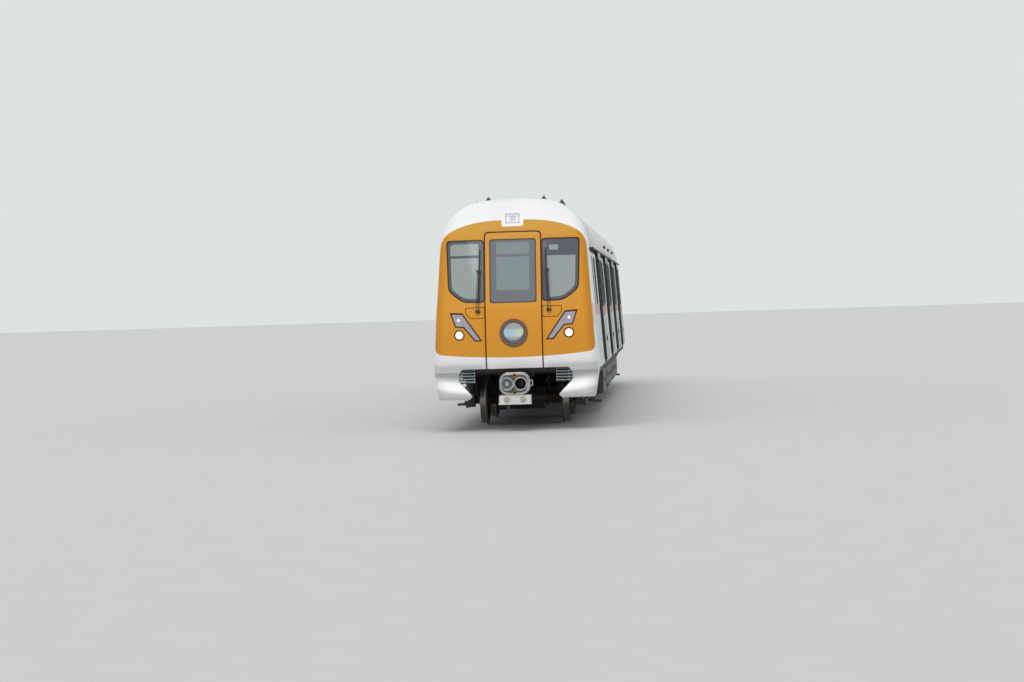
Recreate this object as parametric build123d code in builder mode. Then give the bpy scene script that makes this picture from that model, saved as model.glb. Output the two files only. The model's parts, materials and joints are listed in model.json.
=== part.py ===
# Driving car of a metro train: a stainless body with four pairs of
# outside-hung sliding doors a side, a moulded cab front with a centre escape door,
# and two motor bogies. Front is -Y, left is -X, millimetres, z = 0 at the flange tips.
import os
from math import atan2, cos, radians, sin, sqrt, tan

from build123d import *

# Wheels, and the level of their treads above the flange tips
FLANGE_DEPTH = 28
RAIL = FLANGE_DEPTH
WHEEL_R = 430
WHEEL_WIDTH = 130
BACK_TO_BACK = 1360
WHEELBASE = 2200
BOGIE_Y = {"front": -7150, "rear": 7550}

# Car body cross-section, with heights from the level of the treads
BODY_HALF = 1430
SILL_Z = RAIL + 1000
FLOOR_Z = RAIL + 1130
WALL_TOP_Z = RAIL + 3050
SHOULDER_Z = RAIL + 3220
WALL_LEAN = radians(3.6)
WALL_T = 90
SHOULDER_R = 840
CROWN_R = 5200
SEAT_GAP = 0.3

# Lengths along the car
NOSE_Y = -10880
MASK_LENGTH = 1350
MASK_BACK_Y = NOSE_Y + MASK_LENGTH
NOSE_CUT_Y = MASK_BACK_Y + 700
BULKHEAD_Y = NOSE_Y + 2450
REAR_Y = 10700
COUPLER_FACE_Y = -11100
DRAWBAR_FACE_Y = -COUPLER_FACE_Y

# Passenger doors
DOOR_FIRST_Y = -5950
DOOR_PITCH = 4780
DOOR_COUNT = 4
DOOR_CLEAR = 1400
DOOR_GAP = 12
LEAF_T = 38
LEAF_OVERLAP = 26
LEAF_BOTTOM_Z = RAIL + 1062
LEAF_TOP_Z = RAIL + 3104
LEAF_WINDOW_W = 470
LEAF_WINDOW_Z = (RAIL + 2080, RAIL + 2960)
WINDOW_Z = (RAIL + 2130, RAIL + 2960)
WINDOW_R = 90
GLASS_T = 12

# Cab front
MASK_T = 60
NOSE_CROWN_R = 7000
NOSE_CORNER_R = 200
ESCAPE_HALF = 490
ESCAPE_GAP = 8
ESCAPE_BOTTOM_Z = RAIL + 1060
ESCAPE_TOP_Z = RAIL + 3425
ESCAPE_R = 70
ROUNDEL_Z = RAIL + 1670
ROUNDEL_R = 242
COUPLER_Z = RAIL + 800

tan_lean = tan(WALL_LEAN)


def skin_x(z):
    """Half width of the leaning side at height z."""
    return BODY_HALF - (z - SILL_Z) * tan_lean


# The roof shoulder is tangent to the leaning side and to the crown arc.
shoulder_x = skin_x(SHOULDER_Z) - SHOULDER_R * cos(WALL_LEAN)
shoulder_z = SHOULDER_Z - SHOULDER_R * sin(WALL_LEAN)
crown_angle = atan2(shoulder_x, sqrt((CROWN_R - SHOULDER_R) ** 2 - shoulder_x**2))
crown_z = shoulder_z - (CROWN_R - SHOULDER_R) * cos(crown_angle)
roof_top_z = crown_z + CROWN_R


def at_y(y):
    """Sketch plane across the car at y; an extrusion from it goes forward."""
    return Plane.XZ.offset(-y)


def body_face(y, inset, low_z):
    """Cross-section of the body above low_z, drawn inset from the outer skin."""
    r = SHOULDER_R - inset
    foot_x = skin_x(low_z) - inset / cos(WALL_LEAN)
    side = (shoulder_x + r * cos(WALL_LEAN), shoulder_z + r * sin(WALL_LEAN))
    mid_angle = (WALL_LEAN + radians(90) - crown_angle) / 2
    mid = (shoulder_x + r * cos(mid_angle), shoulder_z + r * sin(mid_angle))
    top = (shoulder_x + r * sin(crown_angle), shoulder_z + r * cos(crown_angle))
    with BuildSketch(at_y(y)) as face:
        with BuildLine():
            Line((foot_x, low_z), side)
            ThreePointArc(side, mid, top)
            ThreePointArc(top, (0, roof_top_z - inset), (-top[0], top[1]))
            ThreePointArc((-top[0], top[1]), (-mid[0], mid[1]), (-side[0], side[1]))
            Line((-side[0], side[1]), (-foot_x, low_z))
            Line((-foot_x, low_z), (foot_x, low_z))
        make_face()
    return face.sketch


def strip_face(y, out_near, out_far, low_z, high_z):
    """Leaning strip of the right side, between two distances outside the skin."""
    with BuildSketch(at_y(y)) as face:
        with BuildLine():
            Polyline(
                (skin_x(low_z) + out_near, low_z),
                (skin_x(low_z) + out_far, low_z),
                (skin_x(high_z) + out_far, high_z),
                (skin_x(high_z) + out_near, high_z),
                close=True,
            )
        make_face()
    return face.sketch


def finish(builder, label):
    """Names a piece and writes it."""
    builder.part.label = label
    export_step(builder.part, f"parts/{label}.step")


os.makedirs("parts", exist_ok=True)

# Cab front. The moulding is its side profile turned about a far upright axis,
# cut to the body arch, with the corner rounded. The profile runs up from the seam.
NOSE_TUCK = 61.7
NOSE_TUCK_LEAN = radians(-20)
# columns: straight length, radius of the bend after it, backward lean after the bend
NOSE_PROFILE = ((110, 400, 0), (310, 2400, 14.5), (1218, 960, 78), (700, None, 78))
NOSE_SWEEP = 36
# The bumper below it, from level sections
# columns: height above the treads, set-back of the face, corner radius
SKIRT_SECTIONS = ((535, 14, 180), (665, 0, 200), (815, 88, 210), (999.7, 61, 200))
SKIRT_DROP = 0.16
SKIRT_LENGTH = 1100


def nose_profile(inset):
    """Side profile of the cab front, inset from the outer moulding, closed at the back."""
    lean = NOSE_TUCK_LEAN
    slide = inset * tan(-lean)
    y = NOSE_Y + NOSE_TUCK + inset * cos(lean) - slide * sin(lean)
    z = SILL_Z - inset * sin(lean) - slide * cos(lean)
    foot = (y, z)
    with BuildSketch(Plane.YZ) as profile:
        with BuildLine():
            for length, radius, next_lean in NOSE_PROFILE:
                run = length + slide
                slide = 0
                end = (y + run * sin(lean), z + run * cos(lean))
                Line((y, z), end)
                y, z = end
                if radius:
                    r = radius - inset
                    turn = radians(next_lean)
                    centre = (y + r * cos(lean), z - r * sin(lean))
                    half = (lean + turn) / 2
                    mid = (centre[0] - r * cos(half), centre[1] + r * sin(half))
                    end = (centre[0] - r * cos(turn), centre[1] + r * sin(turn))
                    ThreePointArc((y, z), mid, end)
                    y, z = end
                    lean = turn
            Polyline((y, z), (NOSE_CUT_Y, z), (NOSE_CUT_Y, foot[1]), foot)
        make_face()
    return profile.sketch


def nose_block(inset):
    """Solid cab front, inset from the outer moulding."""
    axis = Axis((0, NOSE_Y + NOSE_CROWN_R, 0), (0, 0, 1))
    turned = revolve(nose_profile(inset), axis=axis, revolution_arc=NOSE_SWEEP)
    turned = turned.rotate(axis, -NOSE_SWEEP / 2)
    rounded = (GeomType.HYPERBOLA, GeomType.BSPLINE, GeomType.ELLIPSE)
    with BuildPart() as block:
        extrude(body_face(MASK_BACK_Y, inset, SILL_Z - 200), amount=MASK_LENGTH + 50)
        add(turned, mode=Mode.INTERSECT)
        corners = block.edges().filter_by(lambda edge: edge.geom_type in rounded)
        fillet(corners, NOSE_CORNER_R - inset)
    return block.part


def skirt_section(inset, height, set_back, radius):
    """Level section of the bumper: straight sides, round corners, a bowed face."""
    z = RAIL + height
    half = skin_x(SILL_Z) - (SILL_Z - z) * SKIRT_DROP - inset
    r = radius - inset
    bow = NOSE_CROWN_R - inset
    face_y = NOSE_Y + set_back + inset
    centre_x = half - r
    reach = sqrt((bow - r) ** 2 - centre_x**2)
    centre_y = face_y + bow - reach
    turn = atan2(centre_x, reach)
    corner = (centre_x + r * sin(turn), centre_y - r * cos(turn))
    mid_turn = radians(45) - turn / 2
    mid = (centre_x + r * cos(mid_turn), centre_y - r * sin(mid_turn))
    with BuildSketch(Plane.XY.offset(z)) as section:
        with BuildLine():
            Line((half, NOSE_CUT_Y), (half, centre_y))
            ThreePointArc((half, centre_y), mid, corner)
            ThreePointArc(corner, (0, face_y), (-corner[0], corner[1]))
            ThreePointArc((-corner[0], corner[1]), (-mid[0], mid[1]), (-half, centre_y))
            Line((-half, centre_y), (-half, NOSE_CUT_Y))
            Line((-half, NOSE_CUT_Y), (half, NOSE_CUT_Y))
        make_face()
    return section.sketch


def skirt_block(inset):
    """Solid bumper below the seam, inset from its outer moulding."""
    with BuildPart() as block:
        for height, set_back, radius in SKIRT_SECTIONS:
            add(skirt_section(inset, height, set_back, radius))
        loft()
    return block.part


# Front-view outlines, right half, as x and height above the treads
WINDSCREEN = ((512, 2215), (870, 2222), (1122, 2420), (1152, 3285), (512, 3285))
LAMP = ((1095, 2012), (880, 2000), (562, 1548), (674, 1548), (868, 1785), (1016, 1795))
ROUND_LAMP = (948, 1652, 84)
SIGN_HALF_W = 120
SIGN_HEIGHTS = (3575, 3745)
# The coupler opening through the moulding and the bumper
OPENING = ((925, 1060), (985, 960), (985, 850), (930, 785), (745, 592), (800, 536), (800, 400))
OPENING_R = 24


def front_prism(points, shrink, radius, mirrored=True):
    """Prism along the car from a front-view outline, drawn in by shrink and rounded."""
    with BuildPart(mode=Mode.PRIVATE) as prism:
        with BuildSketch(at_y(MASK_BACK_Y - 60)):
            with BuildLine():
                Polyline(*[(x, RAIL + z) for x, z in points], close=True)
            make_face()
            fillet(vertices(), radius)
            if shrink:
                offset(amount=-shrink, mode=Mode.REPLACE)
            if mirrored:
                mirror(about=Plane.YZ)
        extrude(amount=MASK_LENGTH + 200)
    return prism.part


def lamp_prism(shrink):
    """Prism of the two round lamps."""
    x, z, r = ROUND_LAMP
    with BuildPart(mode=Mode.PRIVATE) as prism:
        with BuildSketch(at_y(MASK_BACK_Y - 60)):
            with Locations((x, RAIL + z), (-x, RAIL + z)):
                Circle(r - shrink)
        extrude(amount=MASK_LENGTH + 200)
    return prism.part


def escape_prism(shrink):
    """Prism of the escape doorway, round at its top corners and open below."""
    low = ESCAPE_BOTTOM_Z - 100
    high = ESCAPE_TOP_Z - shrink
    with BuildPart(mode=Mode.PRIVATE) as prism:
        with BuildSketch(at_y(MASK_BACK_Y - 60)):
            with Locations((0, (low + high) / 2)):
                Rectangle(2 * (ESCAPE_HALF - shrink), high - low)
            fillet(vertices().group_by(Axis.Y)[-1], ESCAPE_R - shrink)
        extrude(amount=MASK_LENGTH + 200)
    return prism.part


def box_prism(half_x, low_z, high_z, radius):
    """Rounded rectangular prism along the car, centred on x = 0."""
    with BuildPart(mode=Mode.PRIVATE) as prism:
        with BuildSketch(at_y(MASK_BACK_Y - 60)):
            with Locations((0, (low_z + high_z) / 2)):
                RectangleRounded(2 * half_x, high_z - low_z, radius)
        extrude(amount=MASK_LENGTH + 200)
    return prism.part


def sign_prism(shrink):
    """Prism of the destination display."""
    low_z, high_z = (RAIL + z for z in SIGN_HEIGHTS)
    return box_prism(SIGN_HALF_W - shrink, low_z + shrink, high_z - shrink, SIGN_R)


nose_outer = nose_block(0)
nose_glass = nose_block(GLASS_T)
nose_inner = nose_block(MASK_T)
opening_points = (*OPENING, *[(-x, z) for x, z in reversed(OPENING)])
LENS_T = 9
WINDSCREEN_R = 60
LAMP_R = 16
SIGN_R = 12

with BuildPart() as cab_mask:
    add(nose_outer)
    add(nose_inner, mode=Mode.SUBTRACT)
    add(escape_prism(0), mode=Mode.SUBTRACT)
    add(front_prism(WINDSCREEN, 0, WINDSCREEN_R), mode=Mode.SUBTRACT)
    add(front_prism(LAMP, 0, LAMP_R), mode=Mode.SUBTRACT)
    add(lamp_prism(0), mode=Mode.SUBTRACT)
    add(sign_prism(0), mode=Mode.SUBTRACT)
    add(front_prism(opening_points, 0, OPENING_R, mirrored=False), mode=Mode.SUBTRACT)
finish(cab_mask, "cab_mask")

with BuildPart() as cab_skirt:
    add(skirt_block(0))
    add(skirt_block(MASK_T), mode=Mode.SUBTRACT)
    add(front_prism(opening_points, 0, OPENING_R, mirrored=False), mode=Mode.SUBTRACT)
    with BuildSketch(Plane.YZ):
        with BuildLine():
            Polyline(
                (NOSE_Y + SKIRT_LENGTH, SILL_Z + 10),
                (NOSE_Y + SKIRT_LENGTH, SILL_Z - 250),
                (NOSE_Y + SKIRT_LENGTH - 160, RAIL + 500),
                (NOSE_CUT_Y + 50, RAIL + 500),
                (NOSE_CUT_Y + 50, SILL_Z + 10),
                close=True,
            )
        make_face()
    extrude(amount=BODY_HALF + 100, both=True, mode=Mode.SUBTRACT)
finish(cab_skirt, "cab_skirt")

with BuildPart() as windscreens:
    add(nose_outer)
    add(nose_glass, mode=Mode.SUBTRACT)
    add(front_prism(WINDSCREEN, SEAT_GAP, WINDSCREEN_R), mode=Mode.INTERSECT)
finish(windscreens, "windscreens")

nose_lens = nose_block(LENS_T)
with BuildPart() as headlamp_lenses:
    add(nose_outer)
    add(nose_lens, mode=Mode.SUBTRACT)
    add(front_prism(LAMP, SEAT_GAP, LAMP_R) + lamp_prism(SEAT_GAP), mode=Mode.INTERSECT)
finish(headlamp_lenses, "headlamp_lenses")

with BuildPart() as headlamp_units:
    add(nose_block(LENS_T + SEAT_GAP))
    add(nose_inner, mode=Mode.SUBTRACT)
    add(front_prism(LAMP, SEAT_GAP, LAMP_R) + lamp_prism(SEAT_GAP), mode=Mode.INTERSECT)
finish(headlamp_units, "headlamp_units")



# Escape door in the middle of the front; it drops forward as a ramp.
HINGE_Y = NOSE_Y + 92
HINGE_Z = RAIL + 1088
HINGE_R = 12
HINGE_X = (320, -320)
BORE_GAP = 0.3
HINGE_SKIN_GAP = 21
LUG_W = 40
LUG_HALF = 14
NOTCH_W = 54
DOOR_WINDOW = (395, RAIL + 2200, RAIL + 3290, 45)

with BuildPart() as evac_door:
    add(nose_outer)
    add(nose_inner, mode=Mode.SUBTRACT)
    add(escape_prism(ESCAPE_GAP), mode=Mode.INTERSECT)
    half_x, low_z, high_z, radius = DOOR_WINDOW
    add(box_prism(half_x, low_z, high_z, radius), mode=Mode.SUBTRACT)
    with BuildSketch(Plane.XZ.offset(-MASK_BACK_Y)):
        with Locations((0, ESCAPE_BOTTOM_Z - 200)):
            Rectangle(1200, 400)
    extrude(amount=MASK_LENGTH + 100, mode=Mode.SUBTRACT)
    # The top edge slopes down inward, so it clears the frame as the door drops.
    with BuildSketch(Plane.YZ):
        with BuildLine():
            top_y = NOSE_Y + 405
            Polyline(
                (top_y, ESCAPE_TOP_Z - ESCAPE_GAP),
                (top_y + 160, ESCAPE_TOP_Z - ESCAPE_GAP - 70),
                (top_y + 160, ESCAPE_TOP_Z + 50),
                (top_y, ESCAPE_TOP_Z + 50),
                close=True,
            )
        make_face()
    extrude(amount=600, both=True, mode=Mode.SUBTRACT)
    # Pockets in the back of the door take the lugs and leave the front skin whole.
    with Locations(*[(x, HINGE_Y - HINGE_SKIN_GAP, HINGE_Z - 8) for x in HINGE_X]):
        Box(NOTCH_W, 200, 96, align=(Align.CENTER, Align.MIN, Align.CENTER), mode=Mode.SUBTRACT)
    with Locations(*[(x, HINGE_Y, HINGE_Z) for x in HINGE_X]):
        Cylinder(HINGE_R + BORE_GAP, NOTCH_W + 50, rotation=(0, 90, 0), mode=Mode.SUBTRACT)
finish(evac_door, "evac_door")

with BuildPart() as evac_door_glass:
    add(nose_outer)
    add(nose_glass, mode=Mode.SUBTRACT)
    half_x, low_z, high_z, radius = DOOR_WINDOW
    add(
        box_prism(half_x - SEAT_GAP, low_z + SEAT_GAP, high_z - SEAT_GAP, radius - SEAT_GAP),
        mode=Mode.INTERSECT,
    )
finish(evac_door_glass, "evac_door_glass")

ROUNDEL_OUT = 14
ROUNDEL_DISC_R = 184
ROUNDEL_DISC_OUT = 5
with BuildPart() as evac_door_roundel:
    with BuildSketch(at_y(NOSE_Y + 60)):
        with Locations((0, ROUNDEL_Z)):
            Circle(ROUNDEL_R)
    extrude(amount=60 + ROUNDEL_OUT)
    chamfer(faces().sort_by(Axis.Y)[0].edges(), 6)
    with BuildSketch(at_y(NOSE_Y - ROUNDEL_DISC_OUT)):
        with Locations((0, ROUNDEL_Z)):
            Circle(ROUNDEL_DISC_R)
    extrude(amount=20, mode=Mode.SUBTRACT)
    add(nose_outer, mode=Mode.SUBTRACT)
finish(evac_door_roundel, "evac_door_roundel")

with BuildPart() as destination_display:
    add(nose_outer)
    add(nose_inner, mode=Mode.SUBTRACT)
    add(sign_prism(SEAT_GAP), mode=Mode.INTERSECT)
finish(destination_display, "destination_display")

# Underframe: floor, sole bars, cross bearers, centre pins and draft boxes
SOLE_INNER_X = 1250
SOLE_Z = RAIL + 900
PIN_R = 100
PIN_BOTTOM_Z = RAIL + 520
FLOOR_EDGE_X = skin_x(FLOOR_Z) - WALL_T - SEAT_GAP
door_ys = [DOOR_FIRST_Y + k * DOOR_PITCH for k in range(DOOR_COUNT)]
BEARER_YS = (-8900, -5950, -4400, -2800, -1170, 400, 2000, 3610, 5200, 6300, 9300)
DRAFT_YS = {"front": -9900, "rear": 10050}
DRAFT_PIN_R = 45

with BuildPart() as underframe:
    with BuildSketch(Plane.XY.offset(SILL_Z)):
        with BuildLine():
            Polyline(
                (-FLOOR_EDGE_X, REAR_Y - 80.3),
                (-FLOOR_EDGE_X, NOSE_Y + 420),
                (-1180, NOSE_Y + 262),
                (-960, NOSE_Y + 228),
                (-540, NOSE_Y + 200),
                (-540, NOSE_Y + 142),
                (540, NOSE_Y + 142),
                (540, NOSE_Y + 200),
                (960, NOSE_Y + 228),
                (1180, NOSE_Y + 262),
                (FLOOR_EDGE_X, NOSE_Y + 420),
                (FLOOR_EDGE_X, REAR_Y - 80.3),
                close=True,
            )
        make_face()
    extrude(amount=FLOOR_Z - SILL_Z)
    with Locations(*[(0, y, 0) for y in door_ys]):
        with Locations((0, 0, SILL_Z)):
            Box(
                2 * skin_x(SILL_Z) - 8,
                DOOR_CLEAR - 2 * SEAT_GAP,
                FLOOR_Z - SILL_Z,
                align=(Align.CENTER, Align.CENTER, Align.MIN),
            )
    sole_length = REAR_Y - 80.3 - (NOSE_Y + SKIRT_LENGTH + 20)
    sole_mid_y = (REAR_Y - 80.3 + NOSE_Y + SKIRT_LENGTH + 20) / 2
    for side in (1, -1):
        with Locations((side * (SOLE_INNER_X + 75), sole_mid_y, SOLE_Z)):
            Box(150, sole_length, 100, align=(Align.CENTER, Align.CENTER, Align.MIN))
    with Locations(*[(0, y, SOLE_Z) for y in BEARER_YS]):
        Box(2 * SOLE_INNER_X, 90, 100, align=(Align.CENTER, Align.CENTER, Align.MIN))
    with Locations(*[(0, y, SOLE_Z) for y in BOGIE_Y.values()]):
        Box(2 * SOLE_INNER_X, 700, 100, align=(Align.CENTER, Align.CENTER, Align.MIN))
        Cylinder(PIN_R + 90, 40, align=(Align.CENTER, Align.CENTER, Align.MAX))
    with Locations(*[(0, y, PIN_BOTTOM_Z) for y in BOGIE_Y.values()]):
        Cylinder(PIN_R, SOLE_Z - PIN_BOTTOM_Z, align=(Align.CENTER, Align.CENTER, Align.MIN))
    for y in DRAFT_YS.values():
        with Locations((0, y, SILL_Z)):
            Box(520, 420, 110, align=(Align.CENTER, Align.CENTER, Align.MAX))
        with Locations((0, y, COUPLER_Z - 62)):
            Cylinder(DRAFT_PIN_R, SILL_Z - COUPLER_Z, align=(Align.CENTER, Align.CENTER, Align.MIN))
            Cylinder(DRAFT_PIN_R + 35, 22, align=(Align.CENTER, Align.CENTER, Align.MAX))
    for x in HINGE_X:
        with Locations((x, HINGE_Y, HINGE_Z)):
            Box(LUG_W, NOSE_Y + 145 - HINGE_Y, 2 * LUG_HALF, align=(Align.CENTER, Align.MIN, Align.CENTER))
            Cylinder(LUG_HALF, LUG_W, rotation=(0, 90, 0))
            Cylinder(HINGE_R, NOTCH_W + 44, rotation=(0, 90, 0))
finish(underframe, "underframe")

# Side walls: one panel per bay between the doorways
bay_edges = [MASK_BACK_Y + SEAT_GAP]
for y in door_ys:
    bay_edges += [y - DOOR_CLEAR / 2, y + DOOR_CLEAR / 2]
bay_edges.append(REAR_Y - 80.3)
bays = list(zip(bay_edges[0::2], bay_edges[1::2]))
# columns: window centre along the car, window length
SIDE_WINDOWS = (
    (-8950, 640),
    (-7850, 760),
    (-3560, 1860),
    (1220, 1860),
    (6000, 1860),
    (10120, 760),
)
PANE_SET_BACK = 6


def window_block(shrink):
    """Rounded prisms across the right side, one per side window."""
    low_z, high_z = WINDOW_Z
    mid_z = (low_z + high_z) / 2
    with BuildPart() as block:
        with BuildSketch(Plane.YZ.offset(900)):
            for y, length in SIDE_WINDOWS:
                with Locations((y, mid_z)):
                    RectangleRounded(length - 2 * shrink, high_z - low_z - 2 * shrink, WINDOW_R - shrink)
        extrude(amount=900)
    return block.part


with BuildPart() as side_wall_right:
    for start_y, end_y in bays:
        extrude(strip_face(end_y, -WALL_T, 0, SILL_Z, WALL_TOP_Z), amount=end_y - start_y)
    add(window_block(0), mode=Mode.SUBTRACT)
finish(side_wall_right, "side_wall_right")

with BuildPart() as side_wall_left:
    mirror(side_wall_right.part, about=Plane.YZ)
finish(side_wall_left, "side_wall_left")

with BuildPart() as saloon_windows:
    length = REAR_Y - MASK_BACK_Y
    strip = strip_face(REAR_Y, -PANE_SET_BACK - GLASS_T, -PANE_SET_BACK, *WINDOW_Z)
    extrude(strip, amount=length)
    add(window_block(SEAT_GAP), mode=Mode.INTERSECT)
    mirror(about=Plane.YZ)
finish(saloon_windows, "saloon_windows")

# Roof with the door track rail and its cover along each side
ROOF_T = 80
TRACK_Z = (RAIL + 3085, RAIL + 3095)
TRACK_OUT = 8
COVER_PLATE_Z = (RAIL + 3125, RAIL + 3133)
COVER_OUT = 66
COVER_T = 8
ROOF_FRONT_Y = MASK_BACK_Y + SEAT_GAP
ROOF_REAR_Y = REAR_Y - 80.3
roof_length = ROOF_REAR_Y - ROOF_FRONT_Y

with BuildPart() as roof_shell:
    extrude(body_face(ROOF_REAR_Y, 0, WALL_TOP_Z + SEAT_GAP), amount=roof_length)
    extrude(body_face(ROOF_REAR_Y, ROOF_T, WALL_TOP_Z - 50), amount=roof_length, mode=Mode.SUBTRACT)
    for low_z, high_z, near, far in (
        (*TRACK_Z, -2, TRACK_OUT),
        (*COVER_PLATE_Z, -2, COVER_OUT),
        (TRACK_Z[1], COVER_PLATE_Z[1], COVER_OUT - COVER_T, COVER_OUT),
    ):
        strip = strip_face(ROOF_REAR_Y, near, far, low_z, high_z)
        edge = extrude(strip, amount=roof_length, mode=Mode.PRIVATE)
        add(edge)
        mirror(edge, about=Plane.YZ)
finish(roof_shell, "roof_shell")

# Rear end wall, gangway frame and bellows
GANGWAY_HALF = 650
GANGWAY_Z = (FLOOR_Z, RAIL + 3060)
BELLOWS_Y = (REAR_Y + 60, REAR_Y + 300)
with BuildPart() as rear_end_wall:
    extrude(body_face(REAR_Y, 0, SILL_Z), amount=80)
    with BuildSketch(at_y(REAR_Y + 10)):
        with Locations((0, (GANGWAY_Z[0] + GANGWAY_Z[1]) / 2)):
            RectangleRounded(2 * GANGWAY_HALF, GANGWAY_Z[1] - GANGWAY_Z[0], 120)
    extrude(amount=100, mode=Mode.SUBTRACT)
finish(rear_end_wall, "rear_end_wall")


def gangway_ring(start_y, end_y, out):
    """Rectangular ring round the gangway, standing out from its clear opening."""
    mid_z = (GANGWAY_Z[0] + GANGWAY_Z[1]) / 2
    height = GANGWAY_Z[1] - GANGWAY_Z[0]
    with BuildPart() as ring:
        with BuildSketch(at_y(end_y)):
            with Locations((0, mid_z)):
                RectangleRounded(2 * (GANGWAY_HALF + out), height + 2 * out, 120 + out)
                RectangleRounded(2 * GANGWAY_HALF, height, 120, mode=Mode.SUBTRACT)
        extrude(amount=end_y - start_y)
    return ring.part


with BuildPart() as gangway_frame:
    add(gangway_ring(REAR_Y + SEAT_GAP, BELLOWS_Y[0], 110))
    add(gangway_ring(BELLOWS_Y[1] + SEAT_GAP, REAR_Y + 360, 130))
finish(gangway_frame, "gangway_frame")

with BuildPart() as gangway_bellows:
    fold = (BELLOWS_Y[1] - BELLOWS_Y[0]) / 6
    for k in range(6):
        fold_y = BELLOWS_Y[0] + SEAT_GAP + k * fold
        add(gangway_ring(fold_y, fold_y + fold / 2, 100))
        add(gangway_ring(fold_y + fold / 2, min(fold_y + fold, BELLOWS_Y[1]), 60))
finish(gangway_bellows, "gangway_bellows")

# Outside-hung sliding door leaves, one label per leaf
CENTRE_GAP = 3
FLANGE_NEAR = 3


def door_leaf(start_y, end_y):
    """Closed right-hand leaf between two places along the car, with its window pane."""
    low_z, high_z = LEAF_WINDOW_Z
    mid_y = (start_y + end_y) / 2
    mid_z = (low_z + high_z) / 2
    with BuildPart() as leaf:
        panel = strip_face(end_y, DOOR_GAP, DOOR_GAP + LEAF_T, LEAF_BOTTOM_Z, LEAF_TOP_Z)
        extrude(panel, amount=end_y - start_y)
        flange = strip_face(end_y, FLANGE_NEAR, DOOR_GAP + 1, TRACK_Z[1] + SEAT_GAP, LEAF_TOP_Z)
        extrude(flange, amount=end_y - start_y)
        with BuildSketch(Plane.YZ.offset(900)):
            with Locations((mid_y, mid_z)):
                RectangleRounded(LEAF_WINDOW_W, high_z - low_z, 60)
        extrude(amount=900, mode=Mode.SUBTRACT)
    with BuildPart() as pane:
        face = strip_face(end_y, DOOR_GAP + 14, DOOR_GAP + 14 + GLASS_T, low_z, high_z)
        extrude(face, amount=end_y - start_y)
        with BuildSketch(Plane.YZ.offset(900)):
            with Locations((mid_y, mid_z)):
                RectangleRounded(LEAF_WINDOW_W - 2 * SEAT_GAP, high_z - low_z - 2 * SEAT_GAP, 60 - SEAT_GAP)
        extrude(amount=900, mode=Mode.INTERSECT)
    return leaf.part + pane.part


for number, centre_y in enumerate(door_ys, start=1):
    edge = DOOR_CLEAR / 2 + LEAF_OVERLAP
    for end, start_y, end_y in (
        ("front", centre_y - edge, centre_y - CENTRE_GAP),
        ("rear", centre_y + CENTRE_GAP, centre_y + edge),
    ):
        with BuildPart() as leaf_right:
            add(door_leaf(start_y, end_y))
        finish(leaf_right, f"door_right_{number}_{end}")
        with BuildPart() as leaf_left:
            mirror(leaf_right.part, about=Plane.YZ)
        finish(leaf_left, f"door_left_{number}_{end}")

# Wheelsets
AXLE_Z = RAIL + WHEEL_R
AXLE_R = 85
SEAT_R = 95
JOURNAL_R = 65
JOURNAL_END_X = 1050
FLANGE_R = WHEEL_R + FLANGE_DEPTH
# columns: distance out from the back of the wheel, radius
WHEEL_RIM = (
    (0, WHEEL_R - 60),
    (0, FLANGE_R - 13),
    (8, FLANGE_R - 2),
    (18, FLANGE_R),
    (30, FLANGE_R - 10),
    (36, WHEEL_R + 6),
    (44, WHEEL_R + 1),
    (WHEEL_WIDTH, WHEEL_R - 3),
    (WHEEL_WIDTH, WHEEL_R - 60),
    (88, WHEEL_R - 75),
    (88, 150),
    (158, 130),
    (158, 90),
    (-12, 90),
    (-12, 130),
    (55, 150),
    (55, WHEEL_R - 75),
)
AXLE_STEPS = ((0, AXLE_R), (640, AXLE_R), (650, SEAT_R), (850, SEAT_R), (870, 78), (905, JOURNAL_R))

wheel_back = BACK_TO_BACK / 2
number = 1
for bogie_y in BOGIE_Y.values():
    for axle_y in (bogie_y - WHEELBASE / 2, bogie_y + WHEELBASE / 2):
        with BuildPart() as wheelset:
            with BuildSketch(Plane.XY.offset(AXLE_Z)):
                with BuildLine():
                    Polyline(
                        (0, axle_y),
                        *[(x, axle_y + r) for x, r in AXLE_STEPS],
                        (JOURNAL_END_X, axle_y + JOURNAL_R),
                        (JOURNAL_END_X, axle_y),
                        close=True,
                    )
                make_face()
                with BuildLine():
                    Polyline(*[(wheel_back + x, axle_y + r) for x, r in WHEEL_RIM], close=True)
                make_face()
            revolve(axis=Axis((0, axle_y, AXLE_Z), (1, 0, 0)))
            mirror(about=Plane.YZ)
        finish(wheelset, f"wheelset_{number}")
        number += 1

# Bogies
SIDE_FRAME_X = (905, 1065)
BOX_X = (932, 1040)
BOX_SIZE = 260
FRAME_TOP_Z = RAIL + 860
FRAME_END_Z = RAIL + 720
CENTRE_TOP_Z = RAIL + 600
CENTRE_BOTTOM_Z = RAIL + 430
MOTOR_OFFSET = 640
MOTOR_R = 212
SPRING_R = 95
AIR_SPRING_R = 255
AIR_SPRING_X = 985
SHOE_X = (1044, 1100)
BRAKE_X = (696, 800)
BRAKE_R = (468, 504)

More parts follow.
